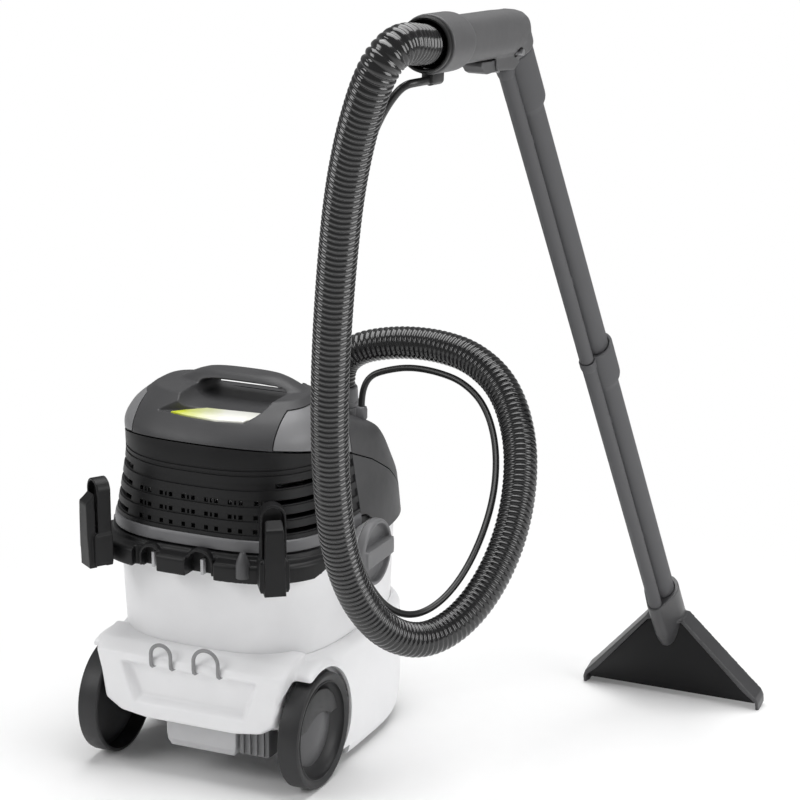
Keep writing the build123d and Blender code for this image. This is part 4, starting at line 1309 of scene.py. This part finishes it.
# ---------------------------------------------------------------- hoses
@dataclass
class Hoses:
    """The corrugated suction hose and the thin spray hose beside it, on given routes."""

    suction: tuple[Point, ...] = (
        (60, 120, 424), (60, 120, 443), (69, 121, 461), (89, 123, 475), (118, 125, 483), (152, 126, 488),
        (195, 123, 489), (243, 112, 483), (291, 90, 460), (326, 56, 416), (346, 12, 368), (353, -36, 318),
        (346, -84, 273), (330, -132, 243), (307, -180, 234), (283, -226, 258), (266, -266, 310),
        (263, -302, 380), (272, -336, 461), (287, -370, 551), (306, -402, 641), (327, -432, 726),
        (349, -461, 802), (371, -485, 860), (390, -502, 901), (405, -512, 931), (417, -512, 953),
        (425, -495, 964), (427, -471, 961), (427, -446, 955.7), (427, -421, 953.5))
    spray: tuple[Point, ...] = (
        (100, 100, 408), (100, 100, 425), (108, 105, 446), (130, 109, 455), (159, 113, 461), (196, 111, 460),
        (233, 103, 454), (269, 84, 436), (297, 53, 403), (315, 11, 363), (322, -37, 325), (318, -83, 288),
        (307, -126, 264), (291, -162, 257), (277, -195, 272), (268, -224, 302), (263, -252, 347),
        (262, -282, 408), (267, -310, 474), (279, -341, 557), (297, -372, 642), (318, -400, 723),
        (342, -427, 796), (367, -448, 848), (388, -462, 884), (405, -470, 907), (418, -470, 921),
        (427, -454, 921.8), (427, -431.9, 919.8))
    suction_length: float = 1.587
    spray_length: float = 1.352
    rings: int = 236
    steps: int = 6

    def line(self, bench: Bench, name: str, route: Sequence[Point]) -> bpy.types.Object:
        """A smooth NURBS curve through the part's frame with a route's points as its control points."""
        curve = bpy.data.curves.new(name, "CURVE")
        curve.dimensions = "3D"
        curve.resolution_u = 12
        spline = curve.splines.new("NURBS")
        spline.points.add(len(route) - 1)
        for place, point in zip(spline.points, route):
            place.co = (*bench.at(*point), 1.0)
        spline.order_u = 3
        spline.use_endpoint_u = True
        made = bpy.data.objects.new(name, curve)
        bpy.context.scene.collection.objects.link(made)
        return made

    def build(self, bench: Bench) -> None:
        """Makes both hoses and their couplings."""
        guide = self.line(bench, "suction_guide", self.suction)
        graph = bpy.context.evaluated_depsgraph_get()
        plain = bpy.data.meshes.new_from_object(guide.evaluated_get(graph), depsgraph=graph)
        tube = bpy.data.objects.new("corrugated_suction_hose", plain)
        bpy.context.scene.collection.objects.link(tube)
        bpy.data.objects.remove(guide)
        ringed_tube("hose_rings", Finish.HOSE.material).use(bench, tube, Rings=self.rings, Steps=self.steps,
                                                            Crest=0.0200,
                                                           Valley=0.0174, Sides=30)
        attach(tube, "hose_set")
        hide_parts("suction_hose")
        LOG.info("%s: %d faces", tube.name, len(tube.data.polygons))
        thin = self.line(bench, "smooth_spray_hose", self.spray)
        thin.data.bevel_depth = 0.004
        thin.data.bevel_resolution = 5
        thin.data.use_fill_caps = True
        thin.data.materials.append(Finish.SPRAY.material)
        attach(thin, "hose_set")
        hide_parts("spray_hose")
        self.couplings(bench)

    def couplings(self, bench: Bench) -> None:
        """The turned couplings at the machine's end."""
        cuff = bench.lathe("turned_hose_cuff", (60, 120, 0), (0, 0, 1),
                           [(381, 17), (381, 22), (400.4, 22), (400.6, 24.5), (403, 25.2), (405.5, 24.6),
                            (406.5, 23.4), (419, 23.0),
                            (422.5, 22.6), (424, 21.4), (424, 18.4), (423, 17)], 80, looped=True)
        bench.dress(cuff, Finish.TRIM, "hose_set", "hose_coupling")
        nut = bench.lathe("turned_spray_nut", (100, 100, 0), (0, 0, 1),
                          [(378, 0), (378, 3.7), (392.4, 3.7), (392.6, 6.6), (394, 7.0), (404, 7.0),
                           (407, 6.2), (408, 4.6), (408, 0)], 48)
        bench.dress(nut, Finish.TRIM, "hose_set", "spray_coupling")


# ---------------------------------------------------------------- handle, wand and nozzle
@dataclass
class Wand:
    """The leaning wand: its axis, the handle at its top, two tubes and the nozzle at its foot."""

    x: float = 427.0
    foot_y: float = 391.6
    lean: float = 33.92
    pitch: float = 453.5
    nozzle_rim: float = 201.0
    tube: float = 16.25
    line_offset: float = 25.5
    line_radius: float = 6.5
    elbow: float = 1130.0
    grip_rise: float = 5.0

    @property
    def up(self) -> Vector:
        """The wand's axis, upwards."""
        lean = math.radians(self.lean)
        return Vector((0.0, -math.sin(lean), math.cos(lean)))

    @property
    def under(self) -> Vector:
        """Square to the wand's axis, towards the side that the spray line is on."""
        return -self.up.cross(Vector((1.0, 0.0, 0.0)))

    def spot(self, along: float, down: float = 0.0) -> Vector:
        """A point at a distance up the wand's axis and beside it."""
        return Vector((self.x, self.foot_y, 0.0)) + self.up * along + self.under * down

    def build(self, bench: Bench) -> None:
        """Makes both tubes with their lines, the handle and the nozzle."""
        self.one_tube(bench, "lower", self.nozzle_rim + self.pitch, -8.0)
        self.one_tube(bench, "upper", self.nozzle_rim + 2 * self.pitch, 1.0)
        Handle(self).build(bench)
        Nozzle(self).build(bench)

    def turned(self, bench: Bench, name: str, profile: Sequence[Flat], down: float = 0.0, segments: int = 64,
               looped: bool = False) -> bpy.types.Object:
        """A turned shape on the wand's axis or beside it."""
        return bench.lathe(name, tuple(self.spot(0.0, down)), tuple(self.up), profile, segments, looped)

    def one_tube(self, bench: Bench, name: str, rim: float, line_foot: float) -> None:
        """One suction tube with its flared socket, line clips and spray line."""
        foot, r = rim - self.pitch, self.tube
        reach = 18.0 if name == "upper" else 0.0
        profile = [(foot - 42, r - 1.8), (foot - 42, r - 0.5), (foot - 41, r), (rim - reach - 66, r),
                   (rim - reach - 61, r + 0.6),
                   (rim - reach - 55, 20.0), (rim - reach - 52, 20.8), (rim - reach - 48, 21.0),
                   (rim - 1.2, 21.0), (rim, 20.2), (rim, 18.2), (rim - 1.0, r + 0.8),
                   (rim - 46, r + 0.8), (rim - 48, r - 1.8)]
        tube = self.turned(bench, "tube", profile, looped=True)
        web = []
        for share in (0.27, 0.75):
            at = foot + share * self.pitch
            strip = bench.brick("web", (-4.6, r - 2.0, at - 7),
                                (4.6, self.line_offset - self.line_radius + 1.6, at + 7))
            strip.data.transform(self.turn())
            web.append(bench.rounded(strip, 1.6))
        lobe = self.turned(bench, "lobe", [(rim - 14, 8.2), (rim - 12, 9.0), (rim - 9, 9.4),
                                           (rim - 1.0, 9.5), (rim, 9.0),
                                           (rim, 8.4), (rim - 1, 8.2)], self.line_offset, 48, True)
        whole = bench.joined(f"moulded_{name}_tube", [tube, lobe, *web])
        bench.dress(whole, Finish.WAND, f"{name}_wand", f"{name}_tube")
        s = self.line_radius + 1.6
        line = self.turned(bench, f"round_{name}_spray_line",
                           [(foot + line_foot, 2.5), (foot + line_foot, s - 0.6), (foot + line_foot + 1, s),
                                                             (rim - 2, s), (rim - 1, s - 0.8),
                                                             (rim - 1, 2.5)], self.line_offset, 40, True)
        bench.dress(line, Finish.WAND, f"{name}_wand", f"{name}_spray_line")

    def turn(self) -> Matrix:
        """The place of something made with the wand's axis as Z and its line side as Y."""
        axes = Matrix((Vector((1, 0, 0)), self.under, self.up)).transposed().to_4x4()
        return Matrix.Translation((self.x, self.foot_y, 0.0)) @ axes


@dataclass
class Handle:
    """The trigger handle: boxy grip, hose collar, elbow, trigger housing and trigger."""

    wand: Wand
    half_width: float = 21.5
    half_height: float = 23.5

    @property
    def elbow(self) -> Vector:
        """Where the grip's axis meets the wand's."""
        return self.wand.spot(self.wand.elbow)

    @property
    def out(self) -> Vector:
        """The grip's axis, towards the hose."""
        rise = math.radians(self.wand.grip_rise)
        return Vector((0.0, -math.cos(rise), math.sin(rise)))

    def section(self, at: float, half_width: float, half_height: float, power: float,
                lift: float = 0.0) -> Ring:
        """A rounded section square to the grip's axis."""
        up = Vector((1.0, 0.0, 0.0)).cross(self.out)
        up = up if up.z > 0 else -up
        centre = self.elbow + self.out * at + up * lift
        ring = []
        for k in range(72):
            a = 2 * math.pi * k / 72
            c, s = math.cos(a), math.sin(a)
            ring.append(tuple(centre + Vector((1, 0,
                                               0)) * (half_width * math.copysign(abs(c) ** (2 / power), c))
                              + up * (half_height * math.copysign(abs(s) ** (2 / power), s))))
        return ring

    def build(self, bench: Bench) -> None:
        """Makes the two handle halves as one moulding, the collar, trigger and lug, and paints the valve."""
        w, h = self.half_width, self.half_height
        grip = bench.skin("grip", [self.section(at, w * a, h * b, p) for at, a, b, p in (
            (-12, 0.90, 0.90, 2.2), (0, 0.98, 0.98, 2.6), (30, 1.0, 1.0, 3.0), (115, 1.0, 1.0, 3.0),
            (151, 1.04, 1.02, 2.4))])
        collar = bench.skin("collar", [self.section(at, r, r, 2.0) for at, r in (
            (133, 22.5), (139, 24.5), (145, 27.4), (150, 28.7), (155, 29.0), (197.5, 29.0), (199, 28.2))])
        wand = self.wand
        neck = wand.turned(bench, "neck", [(1110, 0), (1110, 22.4), (1111.5, 23.2), (1126, 23.4),
                                           (1134, 22.0), (1142, 16), (1144, 0)])
        knee = bench.lathe("knee", tuple(self.elbow - Vector((23, 0, 0))), (1, 0, 0),
                           [(0, 0), (0.6, 9), (4, 17.2), (10, 21.6), (18, 23.3), (28, 23.3), (36, 21.6),
                            (42, 17.2), (45.4, 9), (46, 0)])
        line_end = wand.turned(bench, "line_end", rod(1109.5, 1138, 10.2), wand.line_offset)
        y, z = self.elbow.y, self.elbow.z
        lobe = bench.prism("lobe", [(y - 58, z - 10), (y - 58, z - 25), (y - 54, z - 30.5),
                                    (y - 12, z - 36.0), (y + 2, z - 30),
                                    (y + 8, z - 8)], 0, wand.x - 13.5, wand.x + 13.5)
        body = bench.melt("moulded_handle", [grip, collar, neck, knee, line_end, lobe], 1.05, 7)
        bench.carve(body, bench.lathe("mouth", tuple(self.elbow + self.out * 162), tuple(self.out),
                                      rod(0, 50, 26), 72))
        bench.carve(body, bench.lathe("bore", tuple(self.elbow + self.out * 20), tuple(self.out),
                                      rod(0, 155, 17), 64))
        bench.carve(body, bench.prism("slot", [(y - 96, z - 10.4), (y - 96, z - 52), (y - 41, z - 52),
                                               (y - 41, z - 17.8)], 0,
                                      wand.x - 11.4, wand.x + 11.4))
        bench.carve(body, wand.turned(bench, "throat", rod(1090, 1122, 17.6)))
        dimple = bench.lathe("dimple", (wand.x + 12, y - 10, z - 18), (1, 0, 0), rod(0, 20, 5.4), 40)
        bench.carve(body, dimple)
        halves = self.split(bench, body)
        for half, name in zip(halves, ("left", "right")):
            bench.dress(half, Finish.GRIP, "hose_set", f"handle_shell_{name}", crease=40.0)
        stub = wand.turned(bench, "plug_tube", [(1064, 15), (1064, 16.4), (1114, 16.4), (1114, 15)],
                           looped=True)
        bench.dress(stub, Finish.INK, "hose_set")
        self.collar_ring(bench)
        self.trigger(bench)
        bench.paint(Finish.STEEL, "handle_pins")
        bench.paint(Finish.INK, "spray_valve")
        self.lug(bench)

    def split(self, bench: Bench, body: bpy.types.Object) -> list[bpy.types.Object]:
        """The moulding cut into a left and a right half at its middle seam."""
        halves = []
        for name, side in (("left", -1), ("right", 1)):
            half = bench.copy(body, f"moulded_handle_{name}")
            low, high = sorted((self.wand.x + side * 0.12, self.wand.x + side * 70))
            bench.carve(half, bench.brick("half", (low, -520, 780), (high, 40, 1120)), Keep.INSIDE)
            halves.append(half)
        bpy.data.objects.remove(body)
        return halves

    def collar_ring(self, bench: Bench) -> None:
        """The black ring in the mouth of the handle, which grips the hose."""
        ring = bench.lathe("open_hose_ring", tuple(self.elbow), tuple(self.out),
                           [(163, 16), (163, 25.7), (201, 25.7), (203, 27.4), (206, 27.0), (207, 25.8),
                            (206.4, 24.2), (188, 23.2),
                            (186, 20.8), (184, 16)], 80, looped=True)
        bench.dress(ring, Finish.INK, "hose_set", "hose_collar")

    def lug(self, bench: Bench) -> None:
        """The black lug under the mouth, where the spray hose goes in."""
        low = Vector((0.0, -self.out.z, self.out.y))
        middle = self.elbow + self.out * 186 + low * 31.0
        lug = bench.brick("hose_ring_lug", (-6.5, -7.0, -17.0), (6.5, 9.0, 11.0))
        lug.data.transform(Matrix.Translation(middle) @ self.out.to_track_quat("Z", "Y").to_matrix().to_4x4())
        bench.dress(bench.rounded(lug, 2.5), Finish.INK, "hose_set")

    def trigger(self, bench: Bench) -> None:
        """The flat trigger under the grip."""
        y, z = self.elbow.y - 50, self.elbow.z - 31
        x = self.wand.x
        lever = bench.prism("lever", [(y - 42, z + 10.5), (y - 40, z + 14.5), (y - 20, z + 12.5),
                                      (y - 4, z + 11.4), (y + 5.0, z + 10.0),
                                      (y + 6.0, z - 1.0), (y - 26, z + 0.5), (y - 34, z + 3.5)], 0,
                                      x - 10.6, x + 10.6)
        bench.dress(bench.melt("rounded_trigger", [lever], 0.7, 4), Finish.GRIP, "trigger", "spray_trigger")


@dataclass
class Nozzle:
    """The floor nozzle: a fan-shaped face between two side walls, and an oval neck."""

    wand: Wand
    half_width: float = 118.0
    lip_y: float = 340.0
    lean: float = 14.0
    jet_depth: float = 7.0

    def place(self) -> Matrix:
        """The place of the nozzle's flat fan: X across, Y through it and Z up along it."""
        turn = Matrix.Rotation(math.radians(self.lean), 4, "X")
        return Matrix.Translation((self.wand.x, self.lip_y, 0.0)) @ turn

    def fan(self, bench: Bench, name: str, outline: Sequence[Flat], near: float,
            far: float) -> bpy.types.Object:
        """A flat fan between two depths."""
        made = bench.prism(name, outline, 1, near, far)
        made.data.transform(self.place())
        return made

    def build(self, bench: Bench) -> None:
        """Makes the nozzle's body, its face and the jet."""
        w = self.half_width
        outer = [(-w, 0), (w, 0), (w, 12), (w - 3, 20), (103, 33), (25, 122), (-25, 122), (-103, 33),
                 (-w + 3, 20), (-w, 12)]
        pocket = [(-w + 4, -6), (w - 4, -6), (w - 4, 13), (97.5, 28), (22, 118), (-22, 118), (-97.5, 28),
                  (-w + 4, 13)]
        hollow = [(-107, -6), (107, -6), (107, 14), (95, 28), (15, 116), (-15, 116), (-95, 28), (-107, 14)]
        wedge = self.fan(bench, "wedge", outer, -13, 13)
        bench.carve(wedge, self.fan(bench, "pocket", pocket, -20, -6))
        bench.carve(wedge, self.fan(bench, "hollow", hollow, 1, 10))
        bench.carve(wedge, self.fan(bench, "lip", [(-w + 5, -8), (w - 5, -8), (w - 5, 8.5), (-w + 5, 8.5)],
                                    -20, 4))
        neck_rings = []
        wand = self.wand
        for at, r, s, d in ((112, 16.0, 8.0, 22.0), (124, 21.0, 9.0, 24.0), (136, 22.0, 10.0, 25.0),
                            (195.5, 22.0, 10.5, 25.5)):
            neck_rings.append(self.oval(at, r, s, d))
        neck = bench.skin("neck", neck_rings)
        body = bench.melt("moulded_nozzle", [wedge, neck], 1.15, 4)
        bench.carve(body, wand.turned(bench, "tube_room", rod(128, 230, 17.4)))
        bench.carve(body, wand.turned(bench, "line_room", rod(170, 230, 7.6), wand.line_offset))
        bench.carve(body, bench.brick("floor_cut", (200, 200, 0), (700, 500, 320)), Keep.INSIDE)
        bench.dress(body, Finish.NOZZLE, "nozzle", "nozzle_body", crease=40.0)
        face = self.fan(bench, "smooth_nozzle_face", [(-112, 10), (112, 10), (112, 14), (98, 28), (23, 115),
                                                      (-23, 115), (-98, 28), (-112, 14)],
                        -9.0, -5.6)
        bench.dress(bench.rounded(face, 0.8), Finish.FACE, "nozzle", "nozzle_face")
        corners = bench.parts["spray_jet"].bound_box
        middle = Vector([sum(corner[k] for corner in corners) / 8 for k in range(3)])
        place = (middle - bench.shift) / MM + Vector((0.0, self.jet_depth, 0.0))
        jet = bench.lathe("sunken_spray_jet", tuple(place), (0, -0.3, -1),
                          [(-6, 0), (-6, 3.0), (0, 3.0), (1.0, 2.2), (1.2, 0)], 32)
        bench.dress(jet, Finish.BRASS, "nozzle", "spray_jet")

    def oval(self, at: float, big: float, small: float, offset: float) -> Ring:
        """A section of the neck: the outline round a large and a small circle side by side."""
        wand = self.wand
        lean = math.asin((big - small) / offset)
        ring = []
        for k in range(72):
            a = 2 * math.pi * k / 72
            c, s = math.cos(a), math.sin(a)
            if s > math.sin(lean):
                x, down = small * c, offset + small * s
            else:
                x, down = big * c, big * s
            ring.append(tuple(wand.spot(at) + Vector((x, 0, 0)) + wand.under * down))
        return ring


# ---------------------------------------------------------------- studio
@dataclass
class Studio:
    """A pale floor, soft lights and the camera."""

    eye: Point = (1522.46, -2880.92, 1403.76)
    aim: Point = (197.3, 0.0, 455.0)
    lens: float = 127.66
    lamps: tuple[tuple[str, Point, float, float], ...] = (
        ("key", (-1900, -2100, 2100), 1.5, 34.0), ("side", (2600, -300, 1300), 1.5, 30.0),
        ("top", (200, 300, 3000), 2.4, 74.0))

    def build(self, bench: Bench) -> None:
        """Sets the floor, the light and the camera."""
        self.floor(bench)
        world = bpy.data.worlds.new("pale_room")
        bpy.context.scene.world = world
        world.use_nodes = True
        world.node_tree.nodes["Background"].inputs["Color"].default_value = (1.0, 1.0, 1.0, 1.0)
        self.backdrop(world.node_tree)
        for lamp in self.lamps:
            self.lamp(bench, *lamp)
        camera = bpy.data.cameras.new("viewpoint")
        camera.lens = self.lens
        camera.sensor_width = 36.0
        camera.clip_end = 50.0
        holder = bpy.data.objects.new("viewpoint", camera)
        bpy.context.scene.collection.objects.link(holder)
        holder.location = bench.at(*self.eye)
        toward = bench.at(*self.aim) - bench.at(*self.eye)
        holder.rotation_euler = toward.to_track_quat("-Z", "Y").to_euler()
        bpy.context.scene.camera = holder
        bpy.context.scene.view_settings.view_transform = "Standard"

    def backdrop(self, tree: bpy.types.NodeTree) -> None:
        """Lets the room look white from everywhere while it lights the machine softly."""
        room = tree.nodes["Background"]
        room.inputs["Strength"].default_value = 0.30
        seen = tree.nodes.new("ShaderNodeBackground")
        seen.inputs["Color"].default_value = (1.0, 1.0, 1.0, 1.0)
        seen.inputs["Strength"].default_value = 1.0
        choice = tree.nodes.new("ShaderNodeMixShader")
        tree.links.new(tree.nodes.new("ShaderNodeLightPath").outputs["Is Camera Ray"], choice.inputs["Fac"])
        tree.links.new(room.outputs["Background"], choice.inputs[1])
        tree.links.new(seen.outputs["Background"], choice.inputs[2])
        tree.links.new(choice.outputs["Shader"], tree.nodes["World Output"].inputs["Surface"])

    def floor(self, bench: Bench) -> None:
        """A wide pale floor with a faint unevenness."""
        size, low = 9.0, -0.0004
        data = bpy.data.meshes.new("studio_floor")
        data.from_pydata([(-size, -size, low), (size, -size, low), (size, size, low), (-size, size, low)], [],
                         [(0, 1, 2, 3)])
        made = bpy.data.objects.new("studio_floor", data)
        bpy.context.scene.collection.objects.link(made)
        paint = Moulded("studio_floor_paint", (0.93, 0.93, 0.93), 0.7, 0.0, 3.0, 0.004).build()
        self.fade(paint.node_tree)
        data.materials.append(paint)
        made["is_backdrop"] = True

    def fade(self, tree: bpy.types.NodeTree) -> None:
        """Lets the floor run out into the white of the room away from the machine."""
        place = tree.nodes.new("ShaderNodeTexCoord").outputs["Object"]
        far = tree.nodes.new("ShaderNodeVectorMath")
        far.operation = "DISTANCE"
        reach = tree.nodes.new("ShaderNodeMapRange")
        reach.interpolation_type = "SMOOTHSTEP"
        reach.inputs["From Min"].default_value = 0.25
        reach.inputs["From Max"].default_value = 1.05
        seen = tree.nodes.new("ShaderNodeMath")
        seen.operation = "MULTIPLY"
        glow = tree.nodes.new("ShaderNodeEmission")
        mix = tree.nodes.new("ShaderNodeMixShader")
        tree.links.new(place, far.inputs[0])
        tree.links.new(far.outputs["Value"], reach.inputs["Value"])
        tree.links.new(reach.outputs["Result"], seen.inputs[0])
        tree.links.new(tree.nodes.new("ShaderNodeLightPath").outputs["Is Camera Ray"], seen.inputs[1])
        tree.links.new(seen.outputs["Value"], mix.inputs["Fac"])
        tree.links.new(tree.nodes["Principled BSDF"].outputs["BSDF"], mix.inputs[1])
        tree.links.new(glow.outputs["Emission"], mix.inputs[2])
        tree.links.new(mix.outputs["Shader"], tree.nodes["Material Output"].inputs["Surface"])

    def lamp(self, bench: Bench, name: str, place: Point, size: float, power: float) -> None:
        """A large square lamp that faces the machine."""
        light = bpy.data.lights.new(name, "AREA")
        light.size = size
        light.energy = power
        holder = bpy.data.objects.new(name, light)
        bpy.context.scene.collection.objects.link(holder)
        holder.location = bench.at(*place)
        toward = bench.at(190, 0, 350) - holder.location
        holder.rotation_euler = toward.to_track_quat("-Z", "Y").to_euler()


def main() -> None:
    """Builds the whole machine and its studio."""
    logging.basicConfig(level=logging.INFO, format="%(message)s")
    bench = Bench()
    Studio().build(bench)
    Hoses().build(bench)
    Container().build(bench)
    Skirt().build(bench)
    Wheels().build(bench)
    Casters().build(bench)
    Underbody().build(bench)
    Carrier().build(bench)
    Knobs().build(bench)
    Head().build(bench)
    Wand().build(bench)


if __name__ == "__main__":
    main()
